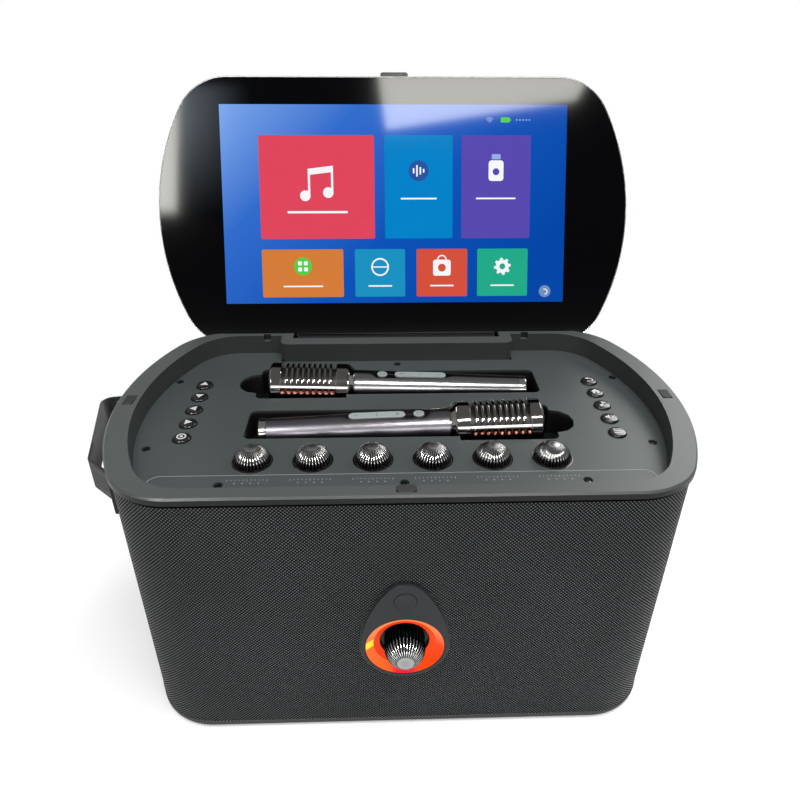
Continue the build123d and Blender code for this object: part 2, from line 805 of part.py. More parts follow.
# seen along +X, with x up the lid and y the way the glass faces
hinge_section = Plane(origin=hinge_centre - Vector(barrel_length / 2, 0, 0), x_dir=lid_up, z_dir=(1, 0, 0))
lid_floor = glass_gap + lid_thickness - lid_wall
arm_reach = arm_width + hinge_inset - lid_margin
with BuildPart() as hinge_barrel:
    with BuildSketch(hinge_section):
        Circle(barrel_radius)
        with Locations((lid_margin - hinge_inset, 0)):
            Rectangle(arm_reach, glass_gap + glass_thickness, align=(Align.MIN, Align.MAX))
        with Locations((lid_margin - hinge_inset + lid_wall, 0)):
            Rectangle(arm_reach - lid_wall, lid_floor, align=(Align.MIN, Align.MAX))
    extrude(amount=barrel_length)
    for side in sides:
        with BuildSketch(Plane(origin=(side * barrel_length / 2, hinge_y, hinge_z), z_dir=(side, 0, 0))):
            Circle(pin_radius + pin_clearance)
        extrude(amount=-pin_reach - pin_end_gap, mode=Mode.SUBTRACT)
save(hinge_barrel.part, "hinge_barrel")

with BuildPart() as hinge_pins:
    for side in sides:
        pin_end = (side * (notch_half + pin_seat), hinge_y, hinge_z)
        with BuildSketch(Plane(origin=pin_end, z_dir=(side, 0, 0))):
            Circle(pin_radius)
        extrude(amount=-pin_seat - hinge_side_gap - pin_reach)
save(hinge_pins.part, "hinge_pins")

# ---------------------------------------------------------------- microphones
head_end = -mic_length / 2
head_back = head_end + mic_head_length
cap_start = mic_length / 2 - mic_cap_length
shoulder = mic_head_radius - mic_neck_radius
mesh_start = head_end + mic_collar
mesh_end = head_back - shoulder - mic_collar

across, along = mic_planes(0, 1)
with BuildPart() as mic_handle:
    add(prism_stack(across, ((head_back, mic_neck_radius), (cap_start, mic_tail_radius)), fine_sides))
    # the flat that the keys sit in
    flat_start = mic_power_s - mic_power_radius - mic_flat_margin
    flat_end = mic_rocker_s + mic_rocker_length / 2 + mic_flat_margin
    with BuildSketch(along.offset(mic_flat)):
        with Locations(((flat_start + flat_end) / 2, 0)):
            Rectangle(flat_end - flat_start, 2 * mic_neck_radius)
    extrude(amount=mic_neck_radius, mode=Mode.SUBTRACT)
    key_floor = mic_flat - mic_key_depth - mic_key_travel - press_gap
    with BuildSketch(along.offset(key_floor)):
        with Locations((mic_power_s, 0)):
            RegularPolygon(mic_power_radius + mic_key_gap, hidden_sides)
        with Locations((mic_rocker_s, 0)):
            add(pill_plan(mic_rocker_length + 2 * mic_key_gap, mic_rocker_width + 2 * mic_key_gap))
    extrude(amount=mic_neck_radius, mode=Mode.SUBTRACT)

with BuildPart() as mic_cage:
    # two collars with the mesh between them, and a shoulder down to the neck
    front_collar = (
        (head_end, mic_head_radius - mic_edge),
        (head_end + mic_edge, mic_head_radius),
        (mesh_start, mic_head_radius),
    )
    back_collar = (
        (mesh_end, mic_head_radius),
        (head_back - shoulder, mic_head_radius),
        (head_back, mic_neck_radius),
    )
    add(prism_stack(across, front_collar, fine_sides))
    add(prism_stack(across, ((mesh_start, mic_mesh_radius), (mesh_end, mic_mesh_radius)), fine_sides))
    add(prism_stack(across, back_collar, fine_sides))
    with BuildSketch(across.offset(head_end + mic_edge)):
        RegularPolygon(mic_core_radius + mic_core_gap, hidden_sides)
    extrude(amount=head_back - shoulder - head_end - mic_edge, mode=Mode.SUBTRACT)

with BuildPart() as mic_capsule:
    with BuildSketch(across.offset(head_end + mic_edge + mic_core_gap)):
        RegularPolygon(mic_core_radius, hidden_sides)
    extrude(amount=head_back - shoulder - head_end - mic_edge - 2 * mic_core_gap)

cap_levels = (
    (cap_start, mic_tail_radius),
    (mic_length / 2 - mic_cap_edge, mic_tail_radius),
    (mic_length / 2, mic_tail_radius - mic_cap_edge),
)
with BuildPart() as mic_cap:
    add(prism_stack(across, cap_levels, fine_sides))

key_foot = mic_flat - mic_key_depth
with BuildPart() as mic_power:
    with BuildSketch(along.offset(key_foot)):
        with Locations((mic_power_s, 0)):
            RegularPolygon(mic_power_radius, hidden_sides)
    extrude(amount=mic_key_depth + mic_key_rise)

with BuildPart() as mic_rocker:
    with BuildSketch(along.offset(key_foot)):
        with Locations((mic_rocker_s, 0)):
            add(pill_plan(mic_rocker_length, mic_rocker_width))
    extrude(amount=mic_key_depth + mic_key_rise)

mic_pieces = {
    "handle": mic_handle,
    "cage": mic_cage,
    "capsule": mic_capsule,
    "cap": mic_cap,
    "power": mic_power,
    "rocker": mic_rocker,
}
for name, (y, turn) in mic_places.items():
    for piece_name, piece in mic_pieces.items():
        place = Location((0, y, 0), (0, 0, 0 if turn > 0 else 180))
        save(piece.part.moved(place), f"mic_{name}_{piece_name}")

# ---------------------------------------------------------------- front controls
volume_centre = (0, plate_z)
power_centre = (0, plate_tip_z)
# the centre of a flank lies so far from both rounds that its arc touches them from outside
flank_to_ring = plate_flank_radius - plate_radius
flank_to_tip = plate_flank_radius - plate_tip_radius
plate_rise = plate_tip_z - plate_z
flank_rise = (flank_to_ring**2 - flank_to_tip**2 + plate_rise**2) / (2 * plate_rise)
flank_reach = math.sqrt(flank_to_ring**2 - flank_rise**2)
flank_z = plate_z + flank_rise
flank_low = math.degrees(math.atan2(plate_z - flank_z, flank_reach))
flank_high = math.degrees(math.atan2(plate_tip_z - flank_z, flank_reach))
flank_turn = flank_high - flank_low
with BuildPart() as front_plate:
    with BuildSketch(front_plane):
        with BuildLine():
            CenterArc(volume_centre, plate_radius, 180 - flank_low, 180 + 2 * flank_low)
            CenterArc((-flank_reach, flank_z), plate_flank_radius, flank_low, flank_turn)
            CenterArc(power_centre, plate_tip_radius, flank_high, 180 - 2 * flank_high)
            CenterArc((flank_reach, flank_z), plate_flank_radius, 180 - flank_high, flank_turn)
        make_face()
    extrude(amount=plate_thickness)
    with BuildSketch(front_plane):
        with Locations(volume_centre):
            RegularPolygon(light_radius + front_gap, large_sides)
        with Locations(power_centre):
            RegularPolygon(power_radius + power_gap, fine_sides)
    extrude(amount=2 * plate_thickness, mode=Mode.SUBTRACT)
save(front_plate.part, "front_plate")

# along the volume knob's axis: forward from the plate's face, and back into the cabinet
volume_plane = Plane(origin=(0, plate_front_y, plate_z), x_dir=(1, 0, 0), z_dir=(0, -1, 0))
inward_plane = Plane(origin=volume_plane.origin, x_dir=(1, 0, 0), z_dir=(0, 1, 0))
wall_depth = wall_inner_y - plate_front_y
light_depth = light_back_y - plate_front_y
dish_levels = (
    (front_gap, light_radius - light_edge),
    (light_step_depth, light_step_radius),
    (light_throat_depth, light_inner_radius),
    (light_depth, light_inner_radius),
)
with BuildPart() as light_ring:
    add(prism_stack(inward_plane, ((front_gap, light_radius), (wall_depth, light_radius)), large_sides))
    with BuildSketch(inward_plane.offset(wall_depth)):
        Rectangle(2 * light_flange_radius, 2 * light_flange_radius)
    extrude(amount=light_depth - wall_depth)
    add(prism_stack(inward_plane, dish_levels, large_sides), mode=Mode.SUBTRACT)
save(light_ring.part, "light_ring")

with BuildPart() as front_encoder:
    with BuildSketch(inward_plane.offset(light_depth)):
        Rectangle(2 * encoder_plate_radius, 2 * encoder_plate_radius)
        # a tongue of the same board carries the switch behind the power button
        with Locations((0, -encoder_plate_radius)):
            Rectangle(encoder_tongue, plate_tip_z - plate_z, align=(Align.CENTER, Align.MAX))
    extrude(amount=encoder_plate_thickness)
    with BuildSketch(inward_plane.offset(light_depth + encoder_plate_thickness)):
        Rectangle(encoder_size, encoder_size)
    extrude(amount=encoder_depth)
    with BuildSketch(volume_plane.offset(-light_depth)):
        Circle(shaft_radius)
    extrude(amount=volume_bore_depth - shaft_end_gap)
save(front_encoder.part, "front_encoder")

volume_sink = light_depth - volume_base_gap
volume_knob = dome_knob(
    volume_plane, volume_radius, volume_protrusion, volume_cap_radius, -volume_sink, volume_bore_depth
)
save(volume_knob, "volume_knob")

power_back = light_depth - power_travel - press_gap
power_plane = Plane(origin=(0, plate_front_y, plate_tip_z), x_dir=(1, 0, 0), z_dir=(0, -1, 0))
power_levels = (
    (-power_back, power_radius),
    (0, power_radius),
    (power_rise, power_radius - power_rise),
)
with BuildPart() as power_button:
    add(prism_stack(power_plane, power_levels, fine_sides))
save(power_button.part, "power_button")

# ---------------------------------------------------------------- speakers, behind the front wall


def drivers(x, z, radius, reach, magnet_radius):
    """A pair of loudspeakers on the wall's inner face: flange, basket and magnet."""
    levels = (
        (flange_thickness, radius - speaker_flange),
        (reach * basket_share, magnet_radius),
        (reach, magnet_radius),
    )
    with BuildPart() as pair:
        for side in sides:
            middle = Plane(origin=(side * x, wall_inner_y, z), x_dir=(1, 0, 0), z_dir=(0, 1, 0))
            with BuildSketch(middle):
                RegularPolygon(radius, hidden_sides)
            extrude(amount=flange_thickness)
            add(prism_stack(middle, levels, hidden_sides))
    return pair.part


save(drivers(woofer_x, woofer_z, woofer_radius, woofer_reach, woofer_magnet), "woofers")
save(drivers(tweeter_x, tweeter_z, tweeter_radius, tweeter_reach, tweeter_magnet), "tweeters")

# ---------------------------------------------------------------- rear panel, its sockets and its switch
rear_face = depth / 2 - grille_inset + rear_rise
rear_floor = rear_face - rear_depth


def rear_at(y):
    """The plane of the rear panel at y: x towards the viewer's right, facing back."""
    return Plane(origin=(0, y, rear_z), x_dir=(-1, 0, 0), z_dir=(0, 1, 0))


with BuildPart() as rear_panel:
    with BuildSketch(rear_at(rear_face)):
        RectangleRounded(rear_width, rear_height, rear_corner)
    extrude(amount=-rear_rise)
    with BuildSketch(rear_at(rear_face)):
        add(cut_corner_plan(opening_width - 2 * rear_gap, opening_height - 2 * rear_gap, rear_cut))
    extrude(amount=-rear_depth - rear_wall)
    with BuildSketch(rear_at(rear_face)):
        wall_pair = 2 * (rear_gap + rear_wall)
        Rectangle(opening_width - wall_pair, opening_height - wall_pair)
    extrude(amount=-rear_depth, mode=Mode.SUBTRACT)
    with BuildSketch(rear_at(rear_floor)):
        with Locations(*[(x, 0) for x in jack_xs], (inlet_x, 0)):
            RegularPolygon(jack_nose_radius + socket_gap, hidden_sides)
        with Locations((usb_x, 0)):
            Rectangle(usb_width + 2 * socket_gap, usb_height + 2 * socket_gap)
        with Locations((switch_x, 0)):
            Rectangle(switch_width + 2 * switch_gap, 2 * (switch_radius + switch_gap))
    extrude(amount=-2 * rear_wall, mode=Mode.SUBTRACT)
save(rear_panel.part, "rear_panel")

rear_inside = rear_floor - rear_wall
with BuildPart() as rear_sockets:
    with BuildSketch(rear_at(rear_inside)):
        with Locations(*[(x, 0) for x in jack_xs]):
            Rectangle(2 * jack_body_radius, 2 * jack_body_radius)
    extrude(amount=-jack_body_depth)
    with BuildSketch(rear_at(rear_inside)):
        with Locations((inlet_x, 0)):
            Rectangle(2 * jack_body_radius, 2 * jack_body_radius)
    extrude(amount=-inlet_body_depth)
    with BuildSketch(rear_at(rear_inside)):
        with Locations(*[(x, 0) for x in jack_xs], (inlet_x, 0)):
            RegularPolygon(jack_nose_radius, hidden_sides)
    extrude(amount=rear_wall + jack_rise)
    with BuildSketch(rear_at(rear_floor + jack_rise)):
        with Locations(*[(x, 0) for x in jack_xs]):
            RegularPolygon(jack_radius, hidden_sides)
    extrude(amount=-jack_bore_depth, mode=Mode.SUBTRACT)
    with BuildSketch(rear_at(rear_floor + jack_rise)):
        with Locations((inlet_x, 0)):
            RegularPolygon(inlet_radius, hidden_sides)
            RegularPolygon(inlet_pin_radius, hidden_sides, mode=Mode.SUBTRACT)
    extrude(amount=-inlet_depth, mode=Mode.SUBTRACT)
    with BuildSketch(rear_at(rear_floor)):
        with Locations((usb_x, 0)):
            Rectangle(usb_width, usb_height)
    extrude(amount=-usb_body_depth)
    with BuildSketch(rear_at(rear_floor)):
        with Locations((usb_x, 0)):
            Rectangle(usb_width - 2 * usb_wall, usb_height - 2 * usb_wall)
            Rectangle(usb_tongue_width, usb_tongue_height, mode=Mode.SUBTRACT)
    extrude(amount=-usb_depth, mode=Mode.SUBTRACT)
    # the switch's housing behind the panel
    housing = 2 * (switch_radius + switch_gap + switch_wall)
    with BuildSketch(rear_at(rear_inside)):
        with Locations((switch_x, 0)):
            Rectangle(switch_width + 2 * (switch_gap + switch_wall), housing)
    extrude(amount=-switch_radius - switch_gap - switch_wall + rear_wall)
    with BuildSketch(rear_at(rear_inside)):
        with Locations((switch_x, 0)):
            Rectangle(switch_width + 2 * switch_gap, 2 * (switch_radius + switch_gap))
    extrude(amount=-switch_radius - switch_gap + rear_wall, mode=Mode.SUBTRACT)
save(rear_sockets.part, "rear_sockets")

# seen along +X: x towards the back, y up
switch_start = Vector(-switch_x - switch_width / 2, rear_floor, rear_z)
with BuildPart() as rear_switch:
    with BuildSketch(Plane(origin=switch_start, x_dir=(0, 1, 0), z_dir=(1, 0, 0))) as rocker:
        Circle(switch_radius)
        with BuildLine(Plane.XY.rotated((0, 0, -switch_tilt))):
            Polyline(
                (switch_notch, 0),
                (2 * switch_radius, switch_notch_half * 2),
                (2 * switch_radius, -switch_notch_half * 2),
                close=True,
            )
        make_face(mode=Mode.SUBTRACT)
    extrude(amount=switch_width)
save(rear_switch.part, "rear_switch")

# ---------------------------------------------------------------- inside the cabinet
battery_width, battery_depth, battery_height = battery_size
with BuildPart() as battery_pack:
    with BuildSketch(Plane.XY.offset(base_top)):
        with Locations((0, battery_y)):
            Rectangle(battery_width, battery_depth)
    extrude(amount=battery_height)
save(battery_pack.part, "battery_pack")

pcb_width, pcb_depth, pcb_thickness = main_board_size
sink_width, sink_depth, sink_height = heat_sink_size
with BuildPart() as main_board:
    with BuildSketch(Plane.XY.offset(base_top + main_board_lift)):
        with Locations((0, main_board_y)):
            Rectangle(pcb_width, pcb_depth)
    extrude(amount=pcb_thickness)
    with BuildSketch(Plane.XY.offset(base_top + main_board_lift + pcb_thickness)):
        with Locations((-pcb_width / 4, main_board_y)):
            Rectangle(sink_width, sink_depth)
        with Locations((pcb_width / 4, main_board_y)):
            with GridLocations(*chip_pitch, 3, 2):
                Rectangle(chip_size, chip_size)
    extrude(amount=heat_sink_foot)
    with BuildSketch(Plane.XY.offset(base_top + main_board_lift + pcb_thickness + heat_sink_foot)):
        with Locations((-pcb_width / 4, main_board_y)):
            with GridLocations(sink_width / fin_count, 0, fin_count, 1):
                Rectangle(fin_thickness, sink_depth)
    extrude(amount=sink_height - heat_sink_foot)
save(main_board.part, "main_board")

# ---------------------------------------------------------------- carrying strap on the left side
strap_bottom = strap_top_z - strap_height
with BuildPart() as strap_anchors:
    with BuildSketch(Plane.XY.offset(strap_bottom - anchor_margin)):
        with Locations(*[(-width / 2, y) for y in anchor_ys]):
            Rectangle(width / 4, anchor_length)
        add(body_plan(grille_inset - anchor_pad), mode=Mode.INTERSECT)
        add(body_plan(grille_inset), mode=Mode.SUBTRACT)
    extrude(amount=strap_height + anchor_margin + min(anchor_margin, grille_top - strap_top_z))
save(strap_anchors.part, "strap_anchors")

with BuildPart() as grab_strap:
    with BuildSketch(Plane.XY.offset(strap_bottom)):
        with BuildLine() as route:
            FilletPolyline(*[(x - width / 2, y) for x, y in strap_points], radius=strap_bend)
        trace(line_width=strap_thickness)
        add(body_plan(grille_inset - anchor_pad), mode=Mode.SUBTRACT)
    extrude(amount=strap_height)
save(grab_strap.part, "grab_strap")

print(f"{len(written)} pieces written")
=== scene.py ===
import json
import math

import bmesh
import bpy
from mathutils import Matrix, Vector


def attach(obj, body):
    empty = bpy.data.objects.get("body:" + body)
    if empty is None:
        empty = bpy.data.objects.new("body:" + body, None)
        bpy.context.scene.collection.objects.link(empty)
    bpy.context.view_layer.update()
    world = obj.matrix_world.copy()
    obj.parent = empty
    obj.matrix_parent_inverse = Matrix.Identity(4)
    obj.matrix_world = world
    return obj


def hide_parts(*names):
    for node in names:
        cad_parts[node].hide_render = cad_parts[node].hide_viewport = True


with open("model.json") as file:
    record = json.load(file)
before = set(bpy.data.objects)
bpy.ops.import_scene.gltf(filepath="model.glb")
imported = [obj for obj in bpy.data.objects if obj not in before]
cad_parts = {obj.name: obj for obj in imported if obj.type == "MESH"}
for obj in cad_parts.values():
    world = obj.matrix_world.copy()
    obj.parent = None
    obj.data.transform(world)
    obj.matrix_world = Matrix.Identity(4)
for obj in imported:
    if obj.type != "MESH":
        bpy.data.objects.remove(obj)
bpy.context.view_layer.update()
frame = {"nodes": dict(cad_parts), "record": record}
mm = 0.001


# shader writing: a wire is a socket that takes part in plain Python sums
class Wire:
    def __init__(self, nodes, socket):
        self.nodes = nodes
        self.socket = socket

    def sum(self, operation, *values):
        return self.nodes.node("ShaderNodeMath", {"operation": operation}, dict(enumerate(values)))

    def __add__(self, other):
        return self.sum("ADD", self, other)

    def __radd__(self, other):
        return self.sum("ADD", other, self)

    def __sub__(self, other):
        return self.sum("SUBTRACT", self, other)

    def __rsub__(self, other):
        return self.sum("SUBTRACT", other, self)

    def __mul__(self, other):
        return self.sum("MULTIPLY", self, other)

    def __rmul__(self, other):
        return self.sum("MULTIPLY", other, self)

    def __truediv__(self, other):
        return self.sum("DIVIDE", self, other)

    def __rtruediv__(self, other):
        return self.sum("DIVIDE", other, self)

    def larger(self, other):
        return self.sum("MAXIMUM", self, other)

    def size(self):
        return self.sum("ABSOLUTE", self)

    def cosine(self):
        return self.sum("COSINE", self)

    def sine(self):
        return self.sum("SINE", self)

    def root(self):
        return self.sum("SQRT", self)

    def smooth(self, low, high):
        return self.nodes.node(
            "ShaderNodeMapRange",
            {"interpolation_type": "SMOOTHSTEP", "clamp": True},
            {"Value": self, "From Min": low, "From Max": high},
        )


class Nodes:
    def __init__(self, tree):
        self.tree = tree

    def node(self, kind, settings=None, inputs=None, output=0):
        made = self.tree.nodes.new(kind)
        for key, value in (settings or {}).items():
            if key == "stops":
                ramp = made.color_ramp
                while len(ramp.elements) < len(value):
                    ramp.elements.new(0.5)
                for element, (place, colour) in zip(ramp.elements, value):
                    element.position = place
                    element.color = (*colour, 1)
            else:
                setattr(made, key, value)
        for key, value in (inputs or {}).items():
            self.join(made.inputs[key], value)
        return Wire(self, made.outputs[output])

    def join(self, socket, value):
        if isinstance(value, Wire):
            self.tree.links.new(value.socket, socket)
        elif isinstance(value, (tuple, list)) and socket.type == "RGBA" and len(value) == 3:
            socket.default_value = (*value, 1)
        else:
            socket.default_value = value

    def parts(self, vector):
        split = self.tree.nodes.new("ShaderNodeSeparateXYZ")
        self.join(split.inputs[0], vector)
        return [Wire(self, socket) for socket in split.outputs]

    def place(self, kind="Object"):
        return self.node("ShaderNodeTexCoord", output=kind)

    def mapped(self, name):
        return self.parts(self.node("ShaderNodeUVMap", {"uv_map": name}))[:2]

    def ray(self, kind):
        return self.node("ShaderNodeLightPath", output=kind)

    def noise(self, scale, detail=3.0):
        inputs = {"Vector": self.place(), "Scale": scale, "Detail": detail, "Roughness": 0.5}
        return self.node("ShaderNodeTexNoise", {}, inputs)

    def mix(self, factor, first, second):
        return self.node("ShaderNodeMix", {"data_type": "RGBA"}, {0: factor, 6: first, 7: second}, 2)

    def ramp(self, factor, stops):
        return self.node("ShaderNodeValToRGB", {"stops": stops}, {"Fac": factor})


class Paint(Nodes):
    def __init__(self, name, **constants):
        self.material = bpy.data.materials.new(name)
        self.material.use_nodes = True
        super().__init__(self.material.node_tree)
        self.shader = self.tree.nodes["Principled BSDF"]
        for socket, value in constants.items():
            self.shader.inputs[socket.replace("_", " ")].default_value = value

    def feed(self, **wires):
        for socket, wire in wires.items():
            self.join(self.shader.inputs[socket.replace("_", " ")], wire)
        return self

    def bump(self, height, depth, strength=1.0):
        inputs = {"Height": height, "Distance": depth, "Strength": strength}
        return self.feed(Normal=self.node("ShaderNodeBump", {}, inputs))


black = (0, 0, 0)


def scaled(colour, share):
    return tuple(c * share for c in colour)


def satinPlastic(name, colour, rough, grain=1400, depth=0.00004, coat=0.0, gloss=0.5):
    paint = Paint(name, Specular_IOR_Level=gloss, Coat_Weight=coat, Coat_Roughness=0.2)
    broad = paint.noise(9, 2)
    fine = paint.noise(grain, 2)
    tone = (broad - 0.5) * 0.25 + 1
    shade = paint.node("ShaderNodeVectorMath", {"operation": "SCALE"}, {0: colour, "Scale": tone})
    return paint.feed(Base_Color=shade, Roughness=rough + (fine - 0.5) * 0.16).bump(fine, depth)


# where the painted shade of the moulded parts changes, in mm
bands = {"end": 8, "face": 126, "endRadius": 222, "edge": (-1, 1), "well": (231.8, 229.5)}


def shaded(paint, sideShare, bandShare=1.0, wellShare=1.0):
    # painted shade: upright faces are darker than the ones that face up, the outer band and the wells darker
    # still
    wire = Wire(paint, paint.shader.inputs["Base Color"].links[0].from_socket)
    upright = paint.parts(paint.node("ShaderNodeNewGeometry", output=1))[2].size().smooth(0.75, 0.25)
    x, y, z = (part * 1000 for part in paint.parts(paint.place()))
    ends = x.size() - bands["end"]
    outer = (y.size() - bands["face"]).larger((ends * ends + y * y).root() - bands["endRadius"])
    outer = outer.smooth(*bands["edge"])
    well = z.smooth(*bands["well"])
    wire = paint.mix(upright * (1 - sideShare), wire, black)
    wire = paint.mix(upright * outer * (1 - bandShare), wire, black)
    return paint.feed(Base_Color=paint.mix(well * (1 - wellShare), wire, black))


def metal(name, colour, rough):
    paint = Paint(name, Metallic=1.0)
    along = paint.noise(45, 2)
    shade = paint.mix(along, scaled(colour, 0.95), colour)
    return paint.feed(Base_Color=shade, Roughness=rough + (along - 0.5) * 0.03)


def glow(name, colour, strength, rough=0.12):
    paint = Paint(name, Emission_Strength=strength, Specular_IOR_Level=0.5)
    wave = paint.noise(6, 2)
    shade = paint.mix(wave, scaled(colour, 0.9), colour)
    dark = paint.mix(wave, scaled(colour, 0.25), scaled(colour, 0.3))
    return paint.feed(Base_Color=dark, Emission_Color=shade, Roughness=rough + (wave - 0.5) * 0.02)


rimPlastic = satinPlastic("rimPlastic", (0.060, 0.066, 0.065), 0.36, gloss=0.22)
trayPlastic = satinPlastic("trayPlastic", (0.045, 0.054, 0.053), 0.42, 1800, 0.00006, gloss=0.4)
innerPlastic = satinPlastic("innerPlastic", (0.02, 0.02, 0.021), 0.55)
rubber = satinPlastic("padRubber", (0.016, 0.016, 0.016), 0.7, 900, 0.00008)
glossBlack = satinPlastic("glossBlack", (0.010, 0.010, 0.011), 0.22, 300, 0.00001, 0.2)
platePlastic = satinPlastic("platePlastic", (0.020, 0.023, 0.025), 0.34, gloss=0.25)
keyPlastic = satinPlastic("keyPlastic", (0.24, 0.27, 0.27), 0.42)
pinSteel = metal("pinSteel", (0.62, 0.62, 0.63), 0.2)
chrome = metal("headChrome", (0.30, 0.285, 0.275), 0.07)
boardGreen = satinPlastic("boardGreen", (0.01, 0.09, 0.035), 0.35, 500)
speakerPaint = satinPlastic("speakerPaint", (0.03, 0.03, 0.032), 0.5)
cellWrap = satinPlastic("cellWrap", (0.03, 0.05, 0.2), 0.3)
# near black: the bore behind the volume knob, and painted shadow round the knobs, the plate and the power key
wellAndShadowBlack = satinPlastic("wellAndShadowBlackPaint", (0.004, 0.004, 0.004), 0.5)
# painted shade: the rim's upright faces and outer band darker, the deck's upright faces and wells darker
shaded(rimPlastic, 0.6, 0.3)
shaded(trayPlastic, 0.75, 1.0, 0.06)
print("paints ready")


# shared mesh tools; their sizes are in mm where they say so
def applied(obj):
    bpy.context.view_layer.update()
    view = obj.evaluated_get(bpy.context.evaluated_depsgraph_get())
    mesh = bpy.data.meshes.new_from_object(view)
    obj.modifiers.clear()
    obj.data = mesh
    return obj


def settle(obj, paint, body, slot, replaced=(), sharp=35):
    mesh = obj.data
    mesh.materials.clear()
    mesh.materials.append(paint.material)
    mesh.polygons.foreach_set("use_smooth", [True] * len(mesh.polygons))
    mesh.set_sharp_from_angle(angle=math.radians(sharp))
    # normals weighed by area keep large flat faces flat in reflections
    weighed = obj.modifiers.new("weighed", "WEIGHTED_NORMAL")
    weighed.weight = 100
    weighed.keep_sharp = True
    applied(obj)
    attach(obj, body)
    if replaced:
        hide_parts(*replaced)
    return obj


def dimmed(sheet):
    # what is lit from within doesn't tint its neighbours
    sheet.visible_diffuse = False
    sheet.visible_glossy = False
    return sheet


def asObject(name, work):
    mesh = bpy.data.meshes.new(name)
    work.normal_update()
    work.to_mesh(mesh)
    work.free()
    obj = bpy.data.objects.new(name, mesh)
    bpy.context.scene.collection.objects.link(obj)
    return obj


def skin(work, rings, closedRing=True, capped=False):
    # faces between neighbouring rings of points
    made = []
    for ring in rings:
        made.append([work.verts.new(point) for point in ring])
    count = len(made[0])
    last = count if closedRing else count - 1
    for below, above in zip(made, made[1:]):
        for i in range(last):
            j = (i + 1) % count
            work.faces.new([below[i], below[j], above[j], above[i]])
    if capped:
        work.faces.new(list(reversed(made[0])))
        work.faces.new(made[-1])
    return made


def layMap(work, name, facts):
    # a map that gives each vertex its own pair of values
    layer = work.loops.layers.uv.new(name)
    for face in work.faces:
        for loop in face.loops:
            loop[layer].uv = facts[loop.vert]


def gridSheet(point, columns, rows, mapName):
    # a sheet of small faces through point(across, up), mapped from 0 to 1 both ways
    work = bmesh.new()
    rings = [[point(i / columns, j / rows) for i in range(columns + 1)] for j in range(rows + 1)]
    made = skin(work, rings, False)
    facts = {vert: (i / columns, j / rows) for j, ring in enumerate(made) for i, vert in enumerate(ring)}
    layMap(work, mapName, facts)
    return work


def circleRing(place, radius, height, sides):
    # points in mm round the axis of a place
    turns = [math.tau * i / sides for i in range(sides)]
    return [place @ (Vector((radius * math.cos(t), radius * math.sin(t), height)) * mm) for t in turns]


def turned(work, profile, place, sides=96):
    # profile: pairs of height and radius in mm, from the bottom up
    skin(work, [circleRing(place, radius, height, sides) for height, radius in profile], capped=True)


def lathed(name, profile, place, sides=96):
    work = bmesh.new()
    turned(work, profile, place, sides)
    return asObject(name, work)


def bevelled(obj, width):
    edge = obj.modifiers.new("edge", "BEVEL")
    edge.width = width
    edge.segments = 3
    edge.limit_method = "ANGLE"
    edge.angle_limit = math.radians(32)
    edge.miter_outer = "MITER_ARC"
    edge.use_clamp_overlap = True
    return applied(obj)


def nodeWork(node):
    # a copy of a CAD node, its flat faces joined again
    work = bmesh.new()
    work.from_mesh(frame["nodes"][node].data)
    bmesh.ops.remove_doubles(work, verts=work.verts, dist=2e-6)
    bmesh.ops.dissolve_limit(work, angle_limit=math.radians(0.6), verts=work.verts, edges=work.edges)
    return work


def flat(x, y, z):
    return Matrix.Translation((x * mm, y * mm, z * mm))


# floor, lamps and camera, in metres and degrees
studio = {
    "reach": 6.0,
    "floorColour": (0.62, 0.62, 0.62),
    "floorLift": 0.40,
    "floorFade": (0.33, 0.62),
    "worldStrength": 0.22,
    "backdropTop": (0.42, 0.20),
    "backdropGloss": 0.55,
    "lamps": {
        "windowRight": {"place": (0.75, -1.25, 1.35), "size": (0.5, 0.35), "power": 4, "aim": (0, 0, 0.2)},
        "skyFill": {"place": (0.2, -0.5, 2.2), "size": (1.8, 1.2), "power": 54, "aim": (0, 0, 0.1)},
        "backRight": {
            "place": (1.1, 1.0, 1.2), "size": (0.9, 0.7), "power": 14, "aim": (0.1, 0, 0.2), "glossy": True,
        },
        "leftFill": {"place": (-1.8, -0.2, 0.9), "size": (0.8, 1.2), "power": 6, "aim": (0, 0, 0.15)},
        "rightFill": {"place": (1.9, -0.4, 0.9), "size": (0.8, 1.2), "power": 4, "aim": (0, 0, 0.15)},
    },
}
shot = {
    "place": (-0.0180, -0.4967, 0.5430), "pitch": 30.62, "yaw": -2.02, "roll": 0.38,
    "lens": 676.2, "frame": 800, "sensor": 36,
}
# sheets of light that only polished surfaces see, with the shares between which they fade
cards = {
    "topCard": {
        "corners": (
            (-0.014, -0.678, 1.291), (0.53, -0.617, 1.24), (0.496, -0.666, 1.19), (0.008, -0.768, 1.178),
        ),
        "colour": (1.0, 0.99, 0.92), "strength": 62,
    },
    "leftCard": {
        "corners": (
            (-0.70, -0.62, 1.215), (-0.514, -0.651, 1.22), (-0.552, -0.83, 0.95), (-0.74, -0.80, 0.93),
        ),
        "colour": (1.0, 1.0, 0.93), "strength": 74, "up": (1.0, 0.9),
    },
    "frontStrip": {
        "corners": ((-1.2, -1.5, 0.86), (1.2, -1.5, 0.86), (1.2, -1.5, 0.60), (-1.2, -1.5, 0.60)),
        "colour": (1, 1, 1), "strength": 6.2,
    },
    "slateCard": {
        "corners": (
            (-0.51, -0.636, 1.207), (-0.33, -0.67, 1.237), (-0.36, -0.86, 0.96), (-0.55, -0.82, 0.94),
        ),
        "colour": (0.72, 0.86, 1.0), "strength": 13, "across": (1.0, 0.0), "up": (1.0, 0.1),
    },
}


